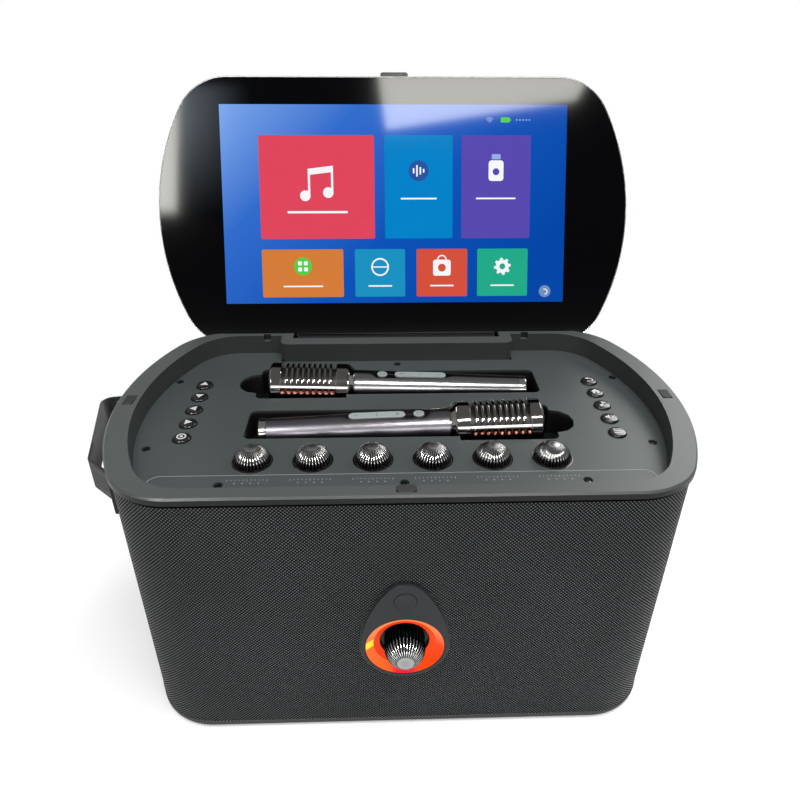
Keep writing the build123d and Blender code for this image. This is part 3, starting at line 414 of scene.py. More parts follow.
def makeCard(name, look):
    a, b, c, d = (Vector(corner) for corner in look["corners"])

    def point(u, v):
        return (a + (b - a) * u) * (1 - v) + (d + (c - d) * u) * v

    card = asObject(name, gridSheet(point, 8, 8, "card"))
    paint = Paint(name + "Paint", Emission_Strength=look["strength"])
    u, v = paint.mapped("card")
    level = 1.0
    for wire, fade in ((u, look.get("across")), (v, look.get("up"))):
        if fade:
            level = wire.smooth(*fade) * level
    paint.feed(Base_Color=black, Emission_Color=paint.mix(level, black, look["colour"]))
    card.data.materials.append(paint.material)
    card.visible_camera = False
    card.visible_diffuse = False
    card.visible_shadow = False


def makeFloor():
    work = bmesh.new()
    reach = studio["reach"]
    skin(work, [[(-reach, -reach, 0), (reach, -reach, 0)], [(-reach, reach, 0), (reach, reach, 0)]], False)
    floor = asObject("floor", work)
    paint = Paint("floorPaint", Roughness=0.8, Specular_IOR_Level=0.1)
    colour = studio["floorColour"]
    paint.feed(Base_Color=paint.mix(paint.noise(1.5, 2), scaled(colour, 0.99), colour))
    # seen by the camera, the floor is lifted to white and fades out into the background
    x, y, z = paint.parts(paint.place())
    away = (x * x + y * y).root()
    surface = Wire(paint, paint.shader.outputs[0])
    white = paint.node("ShaderNodeEmission", {}, {"Color": (1, 1, 1), "Strength": 1.0})
    lift = paint.node("ShaderNodeEmission", {}, {"Color": (1, 1, 1), "Strength": studio["floorLift"]})
    lit = paint.node("ShaderNodeAddShader", {}, {0: surface, 1: lift})
    faded = paint.node("ShaderNodeMixShader", {}, {0: away.smooth(*studio["floorFade"]), 1: lit, 2: white})
    seen = paint.ray("Is Camera Ray").larger(paint.ray("Is Glossy Ray"))
    seen = seen.larger(paint.ray("Is Transmission Ray"))
    final = paint.node("ShaderNodeMixShader", {}, {0: seen, 1: surface, 2: faded})
    paint.join(paint.tree.nodes["Material Output"].inputs["Surface"], final)
    floor.data.materials.append(paint.material)


def makeWorld():
    world = bpy.data.worlds.new("softWorld")
    bpy.context.scene.world = world
    world.use_nodes = True
    back = world.node_tree.nodes["Background"]
    back.inputs["Color"].default_value = (1, 1, 1, 1)
    sky = Nodes(world.node_tree)
    # polished surfaces see the white backdrop near the horizon and the plain room above it
    low, high = studio["backdropTop"]
    height = sky.parts(sky.place("Generated"))[2]
    span = {"Value": height, "From Min": low, "From Max": high, "To Max": studio["backdropGloss"]}
    mirrored = sky.ray("Is Glossy Ray") * sky.node("ShaderNodeMapRange", {}, span)
    seen = sky.ray("Is Transmission Ray").larger(sky.ray("Is Camera Ray").larger(mirrored))
    strength = sky.node("ShaderNodeMapRange", {}, {"Value": seen, "To Min": studio["worldStrength"]})
    sky.join(back.inputs["Strength"], strength)


def makeLamp(name, look):
    lamp = bpy.data.lights.new(name, "AREA")
    lamp.shape = "RECTANGLE"
    lamp.size, lamp.size_y = look["size"]
    lamp.energy = look["power"]
    holder = bpy.data.objects.new(name, lamp)
    holder.location = look["place"]
    toward = Vector(look["aim"]) - Vector(look["place"])
    holder.rotation_euler = toward.to_track_quat("-Z", "Y").to_euler()
    holder.visible_camera = False
    holder.visible_glossy = look.get("glossy", False)
    bpy.context.scene.collection.objects.link(holder)


def makeCamera():
    camera = bpy.data.cameras.new("camera")
    camera.lens = shot["lens"] * shot["sensor"] / shot["frame"]
    camera.sensor_width = shot["sensor"]
    holder = bpy.data.objects.new("camera", camera)
    turn = Matrix.Rotation(math.radians(shot["yaw"]), 3, "Z")
    turn @= Matrix.Rotation(math.radians(90 - shot["pitch"]), 3, "X")
    turn @= Matrix.Rotation(math.radians(shot["roll"]), 3, "Z")
    holder.matrix_world = turn.to_4x4()
    holder.location = shot["place"]
    bpy.context.scene.collection.objects.link(holder)
    bpy.context.scene.camera = holder


makeFloor()
makeWorld()
for name, look in studio["lamps"].items():
    makeLamp(name, look)
for name, look in cards.items():
    makeCard(name, look)
makeCamera()
bpy.context.scene.view_settings.view_transform = "Standard"
print("studio ready")

# the cabinet's plan, repeated from its few sizes in mm
cabinet = {
    "width": 476, "depth": 268, "height": 252, "bow": 230, "corner": 56, "trayDepth": 19, "grilleInset": 2,
}
panelTop = cabinet["height"] - cabinet["trayDepth"]


def roundedPlan(halfWidth, front, back, bow, corner, steps=14):
    # a closed loop from the middle of the front edge, to the right
    middle = halfWidth - bow

    def roundCorner(edge):
        side = 1 if edge > 0 else -1
        y = edge - side * corner
        x = middle + math.sqrt((bow - corner) ** 2 - y**2)
        return x, y, side * math.pi / 2, math.atan2(y, x - middle)

    def arc(x, y, radius, start, end, count):
        turns = [start + (end - start) * i / count for i in range(count + 1)]
        return [(x + radius * math.cos(t), y + radius * math.sin(t)) for t in turns]

    fx, fy, fStart, fEnd = roundCorner(front)
    bx, by, bStart, bEnd = roundCorner(back)
    right = arc(fx, fy, corner, fStart, fEnd, steps)
    right += arc(middle, 0, bow, fEnd, bEnd, 2 * steps)[1:]
    right += arc(bx, by, corner, bEnd, bStart, steps)[1:]
    return [(0, front)] + right + [(0, back)] + [(-x, y) for x, y in reversed(right)]


def bodyPlan(inset):
    halfWidth, half = cabinet["width"] / 2 - inset, cabinet["depth"] / 2 - inset
    return roundedPlan(halfWidth, -half, half, cabinet["bow"] - inset, cabinet["corner"] - inset)


def circlePlan(x, y, radius, count=64, start=0.0, turn=math.tau):
    whole = abs(turn - math.tau) < 1e-6
    steps = count if whole else count - 1
    angles = [start + turn * i / steps for i in range(count)]
    return [(x + radius * math.cos(a), y + radius * math.sin(a)) for a in angles]


def roundedBox(x0, y0, x1, y1, radius, steps=6):
    left, right, low, high = x0 + radius, x1 - radius, y0 + radius, y1 - radius
    loop = []
    for x, y, start in ((right, high, 0), (left, high, 90), (left, low, 180), (right, low, 270)):
        loop += circlePlan(x, y, radius, steps + 1, math.radians(start), math.pi / 2)
    return loop


def bar(x0, y0, x1, y1, width):
    side = Vector((y0 - y1, x1 - x0)).normalized() * width / 2
    near = [(x0 - side.x, y0 - side.y), (x1 - side.x, y1 - side.y)]
    return near + [(x1 + side.x, y1 + side.y), (x0 + side.x, y0 + side.y)]


def arcBand(x, y, radius, width, start, end, count=24):
    first, turn = math.radians(start), math.radians(end - start)
    outer = circlePlan(x, y, radius + width / 2, count, first, turn)
    inner = circlePlan(x, y, radius - width / 2, count, first, turn)
    return outer + list(reversed(inner))


def plates(name, outlines, place, low, high, bevel=0.0):
    # flat pieces cut to closed outlines in mm and given a thickness, their plane set by a matrix
    curve = bpy.data.curves.new(name, "CURVE")
    curve.dimensions = "2D"
    curve.fill_mode = "BOTH"
    curve.extrude = (high - low) / 2 * mm - bevel * mm
    curve.bevel_depth = bevel * mm
    curve.bevel_resolution = 2
    curve.offset = -bevel * mm
    for outline in outlines:
        spline = curve.splines.new("POLY")
        spline.points.add(len(outline) - 1)
        for point, (x, y) in zip(spline.points, outline):
            point.co = (x * mm, y * mm, 0, 1)
        spline.use_cyclic_u = True
    drawn = bpy.data.objects.new(name + "Curve", curve)
    bpy.context.scene.collection.objects.link(drawn)
    bpy.context.view_layer.update()
    mesh = bpy.data.meshes.new_from_object(drawn.evaluated_get(bpy.context.evaluated_depsgraph_get()))
    bpy.data.objects.remove(drawn)
    mesh.name = name
    mesh.transform(place @ Matrix.Translation((0, 0, (low + high) / 2 * mm)))
    work = bmesh.new()
    work.from_mesh(mesh)
    bmesh.ops.remove_doubles(work, verts=work.verts, dist=1e-6)
    bmesh.ops.recalc_face_normals(work, faces=work.faces)
    return asObject(name, work)


# grille: perforated metal wrapped round the cabinet
grille = {
    "pitch": 2.9, "relief": 0.0004, "low": -0.5, "high": -0.15,
    "metal": (0.125, 0.133, 0.14), "hole": (0.001, 0.001, 0.001),
}


def grillePaint():
    paint = Paint("grillePerforated", Specular_IOR_Level=0.12)
    u, v = paint.mapped("wrap")
    lattice = (u * math.tau).cosine() * (v * math.tau).cosine()
    hole = lattice.smooth(grille["low"], grille["high"])
    tone = paint.mix(paint.noise(14, 3), scaled(grille["metal"], 0.75), scaled(grille["metal"], 1.15))
    shade = paint.mix(hole, tone, grille["hole"])
    paint.feed(Base_Color=shade, Roughness=0.34 + hole * 0.45, Metallic=(1 - hole) * 0.5)
    return paint.bump(1 - hole, grille["relief"], 0.7)


def makeGrille():
    work = nodeWork("grille_wrap")
    plan = bodyPlan(cabinet["grilleInset"])
    edges = list(zip(plan, plan[1:] + plan[:1]))
    lengths = [0.0]
    for a, b in edges:
        lengths.append(lengths[-1] + math.dist(a, b))
    whole = lengths[-1]

    def along(point):
        # how far round the plan its nearest place lies
        best = (1e9, 0)
        for i, (a, b) in enumerate(edges):
            edge = Vector(b) - Vector(a)
            if edge.length_squared:
                share = max(0, min(1, (point - Vector(a)).dot(edge) / edge.length_squared))
            else:
                share = 0
            gap = (Vector(a) + edge * share - point).length
            if gap < best[0]:
                best = (gap, lengths[i] + edge.length * share)
        return best[1]

    where = {v: along(Vector((v.co.x, v.co.y)) / mm) for v in work.verts}
    layer = work.loops.layers.uv.new("wrap")
    for face in work.faces:
        first = where[face.verts[0]]
        for loop in face.loops:
            at = where[loop.vert]
            at += whole * round((first - at) / whole)
            loop[layer].uv = (at / grille["pitch"], loop.vert.co.z / mm / grille["pitch"])
    settle(asObject("grilleSkin", work), grillePaint(), "cabinet", "grille_metal", ["grille_wrap"])


makeGrille()
print("grille ready")

# moulded parts that follow the frame, their edges eased
moulded = {
    # name: node, edge radius, paint, body
    "rimMoulding": ("top_frame", 0.7, rimPlastic, "cabinet"),
    "controlDeck": ("control_panel", 0.5, trayPlastic, "cabinet"),
    "baseTrim": ("base_tray", 1.2, innerPlastic, "cabinet"),
    "footBand": ("foot_ring", 0.8, rubber, "cabinet"),
    "lidBack": ("lid_shell", 0.8, rimPlastic, "lid"),
    "rearFrame": ("rear_panel", 0.5, rimPlastic, "cabinet"),
    "edgePads": ("rim_pads", 0.5, rubber, "cabinet"),
    "strapMounts": ("strap_anchors", 0.8, rimPlastic, "cabinet"),
    "hingeBarrel": ("hinge_barrel", 0.3, glossBlack, "lid"),
    "hingePins": ("hinge_pins", 0.3, pinSteel, "cabinet"),
    "rearRocker": ("rear_switch", 0.3, glossBlack, "rear_switch"),
}
slotOf = {part["node"]: part["material_slot"] for part in frame["record"]["subparts"]}
for name, (node, edge, paint, body) in moulded.items():
    settle(bevelled(asObject(name, nodeWork(node)), edge * mm), paint, body, slotOf[node], [node])
print("moulded parts ready")

# knobs: ribbed domes with a smooth cap, sizes in mm
knobLook = {
    # the tones paint light up the knob: dark at the foot, brightest high on the dome; the groove colour is
    # painted shade between the ribs
    "ribs": 34, "ribDepth": 1.15, "steps": 22, "grooveShade": (0.012, 0.012, 0.013),
    "tones": (
        (0.0, (0.012, 0.012, 0.013)), (0.25, (0.06, 0.06, 0.06)), (0.55, (0.55, 0.55, 0.55)),
        (0.9, (0.78, 0.78, 0.77)), (1.0, (0.30, 0.31, 0.31)),
    ),
}
tuningKnob = {"radius": 14.5, "height": 13.0, "foot": 0.4, "skirt": 1.2, "cap": 4.4}
knobRow = {"count": 6, "pitch": 47.0, "y": -64.5, "ringRadius": 15.6, "ringWidth": 0.5}
knobXs = [(i - (knobRow["count"] - 1) / 2) * knobRow["pitch"] for i in range(knobRow["count"])]


def knobPaint():
    paint = Paint("knobSilver", Metallic=1.0)
    u, v = paint.mapped("rise")
    fine = paint.noise(900, 2)
    # painted light and shade: the silver darkens towards the foot, brightens high up, and goes dark in the
    # grooves
    shade = paint.mix(u.smooth(0.05, 0.45), paint.ramp(v, knobLook["tones"]), knobLook["grooveShade"])
    return paint.feed(Base_Color=shade, Roughness=v.smooth(0.86, 0.95) * 0.16 + 0.17 + (fine - 0.5) * 0.06)


knobSilver = knobPaint()


def ribbedKnob(name, node, place, size):
    radius, height, foot, cap = size["radius"], size["height"], size["foot"], size["cap"]
    skirt = foot + size["skirt"]
    top = height - 0.5
    limit = math.acos(cap / radius)
    profile = [(foot, radius * 0.90), (foot, radius * 0.985), (foot + 0.35, radius)]
    for i in range(knobLook["steps"] + 1):
        turn = limit * i / knobLook["steps"]
        profile.append((skirt + (top - skirt) * math.sin(turn) / math.sin(limit), radius * math.cos(turn)))
    ribbed = range(2, len(profile) - 1)
    profile += [(top + 0.12, cap - 0.25), (top + 0.05, cap - 0.7), (top + 0.2, cap * 0.66)]
    profile += [(top + 0.42, cap * 0.33), (height, 0.4)]
    sides = knobLook["ribs"] * 8
    shares = [0.5 - 0.5 * math.cos(knobLook["ribs"] * math.tau * i / sides) for i in range(sides)]
    rings = []
    for row, (level, reach) in enumerate(profile):
        ring = []
        for i, share in enumerate(shares):
            angle = math.tau * i / sides
            depth = knobLook["ribDepth"] * share**1.5 * min(1, reach / radius + 0.1) if row in ribbed else 0
            r = reach - depth
            ring.append(place @ Vector((r * math.cos(angle) * mm, r * math.sin(angle) * mm, level * mm)))
        rings.append(ring)
    work = bmesh.new()
    made = skin(work, rings, capped=True)
    facts = {}
    for row, ring in enumerate(made):
        rise = (profile[row][0] - foot) / (height - foot)
        facts.update({vert: (shares[i] if row in ribbed else 0.0, rise) for i, vert in enumerate(ring)})
    layMap(work, "rise", facts)
    settle(asObject(name, work), knobSilver, node, "knob_silver", [node], 60)


def makeTuningKnob(number, x):
    place = flat(x, knobRow["y"], panelTop)
    ribbedKnob("tuningKnob" + number, "knob_" + number, place, tuningKnob)
    ring, width = knobRow["ringRadius"], knobRow["ringWidth"]
    edge = [(0.0, ring + width), (0.22, ring + width * 0.7), (0.26, ring), (0.2, ring - width * 0.7)]
    edge.append((0.05, ring - width))
    settle(lathed("knobCollar" + number, edge, place), chrome, "cabinet", "pin_steel")
    shadow = lathed("knobShadowRing" + number, [(0.0, ring - width), (0.06, ring - width)], place)
    settle(shadow, wellAndShadowBlack, "cabinet", "inner_plastic")


for i, x in enumerate(knobXs):
    makeTuningKnob(str(i + 1), x)
print("knobs ready")

# round buttons with white signs, sizes in mm
buttonLook = {
    "radius": 7.4, "x": 180, "backY": 56.5, "pitch": 22, "rise": 2.4, "foot": -2.8,
    "sign": 0.08, "signFoot": -0.16, "signScale": 1.32,
}
# the white signs glow a little: painted light that brightens them
signWhitePaintedGlow = glow("signWhitePaintedGlow", (0.8, 0.8, 0.8), 0.45, 0.5)


def turnedSign(outline, angle):
    c, s = math.cos(math.radians(angle)), math.sin(math.radians(angle))
    return [(x * c - y * s, x * s + y * c) for x, y in outline]


arrowHead = [(0, 2.6), (-2.7, -1.7), (2.7, -1.7)]
houseHalf = [(0.7, -0.7), (0.7, -2.6), (2.3, -2.6), (2.3, 0.2), (3.2, 0.2)]
noteFlag = [(-0.35, -1.9), (-0.35, 2.9), (2.4, 1.9), (2.4, 0.7), (0.35, 1.45), (0.35, -1.9)]
horn = [(-3.0, -0.9), (-1.7, -0.9), (-0.1, -2.5), (-0.1, 2.5), (-1.7, 0.9), (-3.0, 0.9)]
signs = {
    "up": [arrowHead],
    "down": [turnedSign(arrowHead, 180)],
    "left": [turnedSign(arrowHead, 90)],
    "right": [turnedSign(arrowHead, -90)],
    "select": [circlePlan(0, 0, 3.0), circlePlan(0, 0, 2.1), circlePlan(0, 0, 1.0, 32)],
    "back": [
        arcBand(0.4, 0.1, 2.1, 0.75, -100, 110),
        [(-0.2, 3.6), (-0.2, 0.9), (-2.6, 2.2)],
        bar(-1.8, -2.0, 0.2, -2.0, 0.75),
    ],
    "home": [[(0, 3.0)] + [(-x, y) for x, y in reversed(houseHalf)] + houseHalf],
    "music": [circlePlan(-1.1, -1.9, 1.15, 32), noteFlag],
    "mute": [horn, bar(0.9, -1.4, 3.1, 1.4, 0.7), bar(0.9, 1.4, 3.1, -1.4, 0.7)],
    "mode": [bar(-2.6, y, 2.6, y, 0.8) for y in (1.9, 0, -1.9)],
}
buttonColumns = {-1: ("up", "down", "left", "right", "select"), 1: ("back", "home", "music", "mute", "mode")}


def makeButton(word, place):
    r, rise, foot = (buttonLook[key] for key in ("radius", "rise", "foot"))
    profile = [(foot, r - 0.2), (foot, r), (rise * 0.35, r)]
    for i in range(1, 9):
        turn = math.pi / 2 * i / 8
        profile.append((rise * 0.35 + rise * 0.5 * math.sin(turn), r - 1.7 * (1 - math.cos(turn))))
    profile += [(rise * 0.93, r * 0.5), (rise * 0.99, r * 0.2), (rise, 0.05)]
    body = "button_" + word
    settle(lathed(word + "Key", profile, place, 72), glossBlack, body, "gloss_black", [body], 50)
    scale = buttonLook["signScale"]
    outlines = [[(x * scale, y * scale) for x, y in outline] for outline in signs[word]]
    sign = plates(word + "Sign", outlines, place, rise + buttonLook["signFoot"], rise + buttonLook["sign"])
    settle(sign, signWhitePaintedGlow, body, "key_grey")


for side, names in buttonColumns.items():
    for row, word in enumerate(names):
        y = buttonLook["backY"] - row * buttonLook["pitch"]
        makeButton(word, flat(side * buttonLook["x"], y, panelTop))
print("buttons ready")

# deck screws: pan heads with a cross recess, sizes in mm
screwLook = {
    "places": (
        (205, 65), (-205, 65), (205, -45.5), (-205, -45.5), (138, -95), (-138, -95), (0, -95), (0, 97),
    ),
    "radius": 3.0, "top": -0.35, "drop": 1.5, "dome": 0.55, "slot": 0.45, "reach": 1.9, "depth": 0.8,
    "sides": 64, "steps": 17,
}
screwSteel = metal("screwBlackSteel", (0.10, 0.10, 0.105), 0.25)


def makeScrew(name, place):
    radius, sides = screwLook["radius"], screwLook["sides"]
    rings = [circleRing(place, radius, -screwLook["drop"], sides)]
    for step in range(screwLook["steps"]):
        r = radius * (1 - step / (screwLook["steps"] + 0.5))
        ring = []
        for i in range(sides):
            angle = math.tau * i / sides
            x, y = r * math.cos(angle), r * math.sin(angle)
            level = screwLook["top"] - screwLook["dome"] * (r / radius) ** 3
            if min(abs(x), abs(y)) < screwLook["slot"] and r < screwLook["reach"]:
                level -= screwLook["depth"]
            ring.append(place @ Vector((x * mm, y * mm, level * mm)))
        rings.append(ring)
    work = bmesh.new()
    skin(work, rings, capped=True)
    settle(asObject(name, work), screwSteel, "cabinet", "pin_steel", (), 30)


for i, (x, y) in enumerate(screwLook["places"]):
    makeScrew("deckScrew" + str(i + 1), flat(x, y, panelTop))
print("screws ready")

# microphones: s runs along the axis from the head's end, sizes in mm
mic = {
    "length": 240, "head": 79, "headRadius": 20.5, "neck": 15.2, "tail": 12.0, "cap": 7.0,
    "headDrop": 21.2, "tailDrop": 27.4, "collar": 12, "flat": 12.6, "powerAt": -15.5, "powerRadius": 4.6,
    "rockerAt": 20, "rockerLength": 48, "rockerWidth": 9, "keyRise": 1.0, "keyDepth": 3.0,
    "ribs": 9, "ribWidth": 2.3, "ribInner": 16.6, "core": 15.4, "railAngle": 63, "railReach": 0.13,
    "slots": 9, "slotDepth": 1.4, "undersideWall": 1.4,
}
micStands = {"back": (60, 1), "front": (-11, -1)}
micTilt = math.atan2(mic["tailDrop"] - mic["headDrop"], mic["length"] - mic["head"] / 2)
micMiddle = cabinet["height"] - mic["headDrop"] + (mic["head"] / 2 - mic["length"] / 2) * math.tan(micTilt)
headEnd = -mic["length"] / 2
headBack = headEnd + mic["head"]
cone = headBack - (mic["headRadius"] - mic["neck"])  # where the head narrows to the neck
meshStart = headEnd + mic["collar"]
meshEnd = cone - mic["collar"]
rail = math.radians(mic["railAngle"])
tailEnd = mic["length"] / 2
capStart = tailEnd - mic["cap"]
gunmetal = metal("gunmetal", (0.31, 0.31, 0.32), 0.2)
# the front microphone's handle is a darker copy of the same gunmetal: painted shade
gunmetalPaintedShade = metal("gunmetalPaintedShade", (0.20, 0.19, 0.215), 0.28)
capSteel = metal("capSteel", (0.5, 0.5, 0.49), 0.16)
coreBlack = satinPlastic("coreBlack", (0.006, 0.006, 0.006), 0.45, 700)
# the head's underside is chrome tinted red-brown: a painted reflection
chromePaintedRedReflection = metal("chromePaintedRedReflection", (0.36, 0.15, 0.12), 0.16)


def aroundAxis(place, s, radius, angle):
    # a point on the microphone: s along it, angle measured from straight up
    return place @ Vector((s * mm, radius * math.sin(angle) * mm, radius * math.cos(angle) * mm))


def sweptBand(work, place, s0, s1, outer, start, end, ease=0.5, count=48):
    # a curved bar with eased outer edges, part of the way round the axis
    inner = mic["ribInner"]
    section = [(s0, inner), (s0, outer - ease), (s0 + ease * 0.3, outer - ease * 0.3), (s0 + ease, outer)]
    section += [(s1 - ease, outer), (s1 - ease * 0.3, outer - ease * 0.3), (s1, outer - ease), (s1, inner)]
    rings = []
    for i in range(count + 1):
        angle = start + (end - start) * i / count
        rings.append([aroundAxis(place, s, r, angle) for s, r in section])
    skin(work, rings, capped=True)


def makeHead(body, place, axis):
    # end collars with eased edges, the cone down to the neck, and ribs between two rails
    outer, inner, neck = mic["headRadius"], mic["ribInner"], mic["neck"]
    endCollar = [
        (headEnd + 0.3, 3), (headEnd, 10), (headEnd, 15.6), (headEnd + 0.5, 17.4), (headEnd + 1.4, 19.2),
        (headEnd + 2.6, outer - 0.1), (headEnd + 3.2, outer), (meshStart - 0.8, outer),
        (meshStart - 0.1, outer - 0.6), (meshStart, inner),
    ]
    neckCollar = [
        (meshEnd, inner), (meshEnd + 0.1, outer - 0.6), (meshEnd + 0.8, outer), (cone - 1.6, outer),
        (cone - 1.2, outer - 0.5), (cone - 0.6, outer - 0.5), (cone - 0.2, outer - 0.2),
        (cone + 0.9, outer - 1.0), (headBack - 1.2, neck + 0.9),
        (headBack - 0.4, neck + 0.7), (headBack, neck + 0.1),
    ]
    work = bmesh.new()
    turned(work, endCollar, axis)
    turned(work, neckCollar, axis)
    gap = (meshEnd - meshStart) / (mic["ribs"] + 1)
    half = mic["ribWidth"] / 2
    for i in range(mic["ribs"]):
        s = meshStart + gap * (i + 1)
        sweptBand(work, place, s - half, s + half, outer - 0.25, -rail, rail)
    for side in (-1, 1):
        low, high = sorted((side * (rail - 0.03), side * (rail + mic["railReach"])))
        sweptBand(work, place, meshStart - 0.5, meshEnd + 0.5, outer - 0.02, low, high, 0.6, 8)
    settle(asObject(body + "HeadChrome", work), chrome, body, "mic_chrome", [body + "_cage"], 40)


def makeUnderside(body, place):
    # the closed underside of the head, with a row of slots along each edge
    start, end = rail + mic["railReach"], math.tau - rail - mic["railReach"]
    cells, rows = mic["slots"] * 4, 48
    rings = []
    for row in range(rows + 1):
        angle = start + (end - start) * row / rows
        slotted = min(row, rows - row) in (1, 2)
        ring = []
        for i in range(cells + 1):
            s = meshStart - 0.5 + (meshEnd - meshStart + 1.0) * i / cells
            depth = mic["slotDepth"] if slotted and i % 4 in (1, 2) and 0 < i < cells else 0.0
            ring.append(aroundAxis(place, s, mic["headRadius"] - 0.35 - depth, angle))
        rings.append(ring)
    work = bmesh.new()
    skin(work, rings, False)
    bmesh.ops.solidify(work, geom=work.faces[:], thickness=mic["undersideWall"] * mm)
    settle(asObject(body + "HeadUnderside", work), chromePaintedRedReflection, body, "mic_chrome", (), 40)


def makeHandle(body, place, paint):
    # tapered, with a flat for the keys
    flatFrom = mic["powerAt"] - mic["powerRadius"] - 5
    flatTo = mic["rockerAt"] + mic["rockerLength"] / 2 + 5
    rings = []
    for step in range(81):
        s = headBack + (capStart - headBack) * step / 80
        r = mic["neck"] + (mic["tail"] - mic["neck"]) * (s - headBack) / (capStart - headBack)
        inside = min(1, max(0, (s - flatFrom) / 4)) * min(1, max(0, (flatTo - s) / 4))
        top = r + min(0, mic["flat"] - r) * inside
        ring = []
        for i in range(120):
            angle = math.tau * i / 120
            up = min(r * math.cos(angle), top)
            ring.append(place @ Vector((s * mm, r * math.sin(angle) * mm, up * mm)))
        rings.append(ring)
    work = bmesh.new()
    skin(work, rings, capped=True)
    settle(asObject(body + "Handle", work), paint, body, "mic_body", [body + "_handle"], 30)


rockerBox = roundedBox(
    -mic["rockerLength"] / 2, -mic["rockerWidth"] / 2, mic["rockerLength"] / 2, mic["rockerWidth"] / 2,
    mic["rockerWidth"] / 2 - 0.01, 12,
)
micKeys = {
    # word: place along the axis, outline, dark signs
    "power": (
        mic["powerAt"],
        circlePlan(0, 0, mic["powerRadius"]),
        [arcBand(0, 0, 2.0, 0.4, 125, 415, 40), bar(0, 0.6, 0, 2.7, 0.4)],
    ),
    "rocker": (
        mic["rockerAt"],
        rockerBox,
        [
            bar(-19.2, 0, -15.6, 0, 0.45), bar(-17.4, -1.8, -17.4, 1.8, 0.45),
            bar(0, -1.9, 0, 1.9, 0.4), bar(15.6, 0, 19.2, 0, 0.45),
        ],
    ),
}
flatMarks = [
    bar(mic["powerAt"] + 5.6, 0.0, mic["rockerAt"] - mic["rockerLength"] / 2 - 1.0, 0.0, 1.2),
    arcBand(mic["powerAt"] - 7.4, 0, 1.3, 0.35, 0, 360, 32),
]


def makeKeys(body, place):
    foot, top = mic["flat"] - mic["keyDepth"], mic["flat"] + mic["keyRise"]
    for word, (s, outline, marks) in micKeys.items():
        spot = place @ Matrix.Translation((s * mm, 0, 0))
        key = plates(body + word.title() + "Key", [outline], spot, foot, top, 0.4)
        settle(key, keyPlastic, body + "_" + word, "key_grey", [body + "_" + word], 40)
        for i, mark in enumerate(marks):
            sign = plates(body + word.title() + "Mark" + str(i + 1), [mark], spot, top - 0.05, top + 0.06)
            settle(sign, innerPlastic, body + "_" + word, "mic_inner")
    for i, mark in enumerate(flatMarks):
        sign = plates(body + "FlatMark" + str(i + 1), [mark], place, mic["flat"] - 0.03, mic["flat"] + 0.05)
        settle(sign, innerPlastic, body, "mic_inner")


def makeMicrophone(name, y, turn):
    body = "mic_" + name
    place = flat(0, y, micMiddle) @ Matrix.Rotation(0 if turn > 0 else math.pi, 4, "Z")
    place = place @ Matrix.Rotation(micTilt, 4, "Y")
    axis = place @ Matrix.Rotation(math.pi / 2, 4, "Y") @ Matrix.Rotation(math.pi, 4, "Z")
    makeHead(body, place, axis)
    makeUnderside(body, place)
    core = mic["core"]
    capsule = lathed(
        body + "Capsule",
        [(meshStart - 6, 8), (meshStart - 6, core), (meshEnd + 6, core), (meshEnd + 6, 8)],
        axis,
        72,
    )
    settle(capsule, coreBlack, body, "mic_inner", [body + "_capsule"], 40)
    makeHandle(body, place, gunmetal if turn > 0 else gunmetalPaintedShade)
    tail = mic["tail"]
    cap = [
        (capStart, tail - 0.5), (capStart + 0.3, tail), (tailEnd - 1.2, tail), (tailEnd - 0.4, tail - 0.4),
        (tailEnd, tail - 1.4), (tailEnd, 8), (tailEnd - 0.8, 7.6), (tailEnd - 0.8, 0.1),
    ]
    settle(lathed(body + "TailCap", cap, axis), capSteel, body, "pin_steel", [body + "_cap"], 40)
    makeKeys(body, place)
    print("microphone", name, "ready")


for name, (y, turn) in micStands.items():
    makeMicrophone(name, y, turn)

# front: teardrop plate, glowing ring, volume knob and power button, sizes in mm
front = {
    "ringZ": 100, "tipZ": 151, "radius": 35, "tipRadius": 17, "bulge": 100, "thickness": 2.8, "shadow": 1.3,
    "ring": 31.4, "step": 25, "throat": 20,
    "stepDepth": 4.5, "throatDepth": 7, "wellDepth": 12.0, "wall": 0.6,
    "powerRadius": 8.7, "powerGap": 0.4, "powerShadowLine": 0.5, "powerRise": 0.6, "powerFoot": -16,
}
volumeKnob = {"radius": 16.5, "height": 16.0, "foot": -11.4, "skirt": 11.1, "cap": 6.4}
plateFront = -cabinet["depth"] / 2 + cabinet["grilleInset"] - front["thickness"]
facing = Matrix.Translation((0, plateFront * mm, 0)) @ Matrix.Rotation(math.pi / 2, 4, "X")
ringFacing = facing @ flat(0, front["ringZ"], 0)
tipFacing = facing @ flat(0, front["tipZ"], 0)
inward = Matrix.Translation((0, plateFront * mm, front["ringZ"] * mm)) @ Matrix.Rotation(-math.pi / 2, 4, "X")


def teardrop(grow=0.0):
    # two circles joined by large arcs that touch them
    small, large, bulge = (front[key] + grow for key in ("tipRadius", "radius", "bulge"))
    gap = front["tipZ"] - front["ringZ"]
    first, second = bulge - large, bulge - small
    rise = (first**2 - second**2 + gap**2) / (2 * gap)
    reach = -math.sqrt(first**2 - rise**2)
    z = front["ringZ"] + rise
    lowTurn = math.atan2(front["ringZ"] - z, -reach)
    highTurn = math.atan2(front["tipZ"] - z, -reach)
    right = circlePlan(0, front["ringZ"], large, 40, -math.pi / 2, math.pi / 2 + lowTurn)
    right += circlePlan(reach, z, bulge, 24, lowTurn, highTurn - lowTurn)[1:]
    right += circlePlan(0, front["tipZ"], small, 24, highTurn, math.pi / 2 - highTurn)[1:]
    return right + [(-x, y) for x, y in reversed(right[1:-1])]


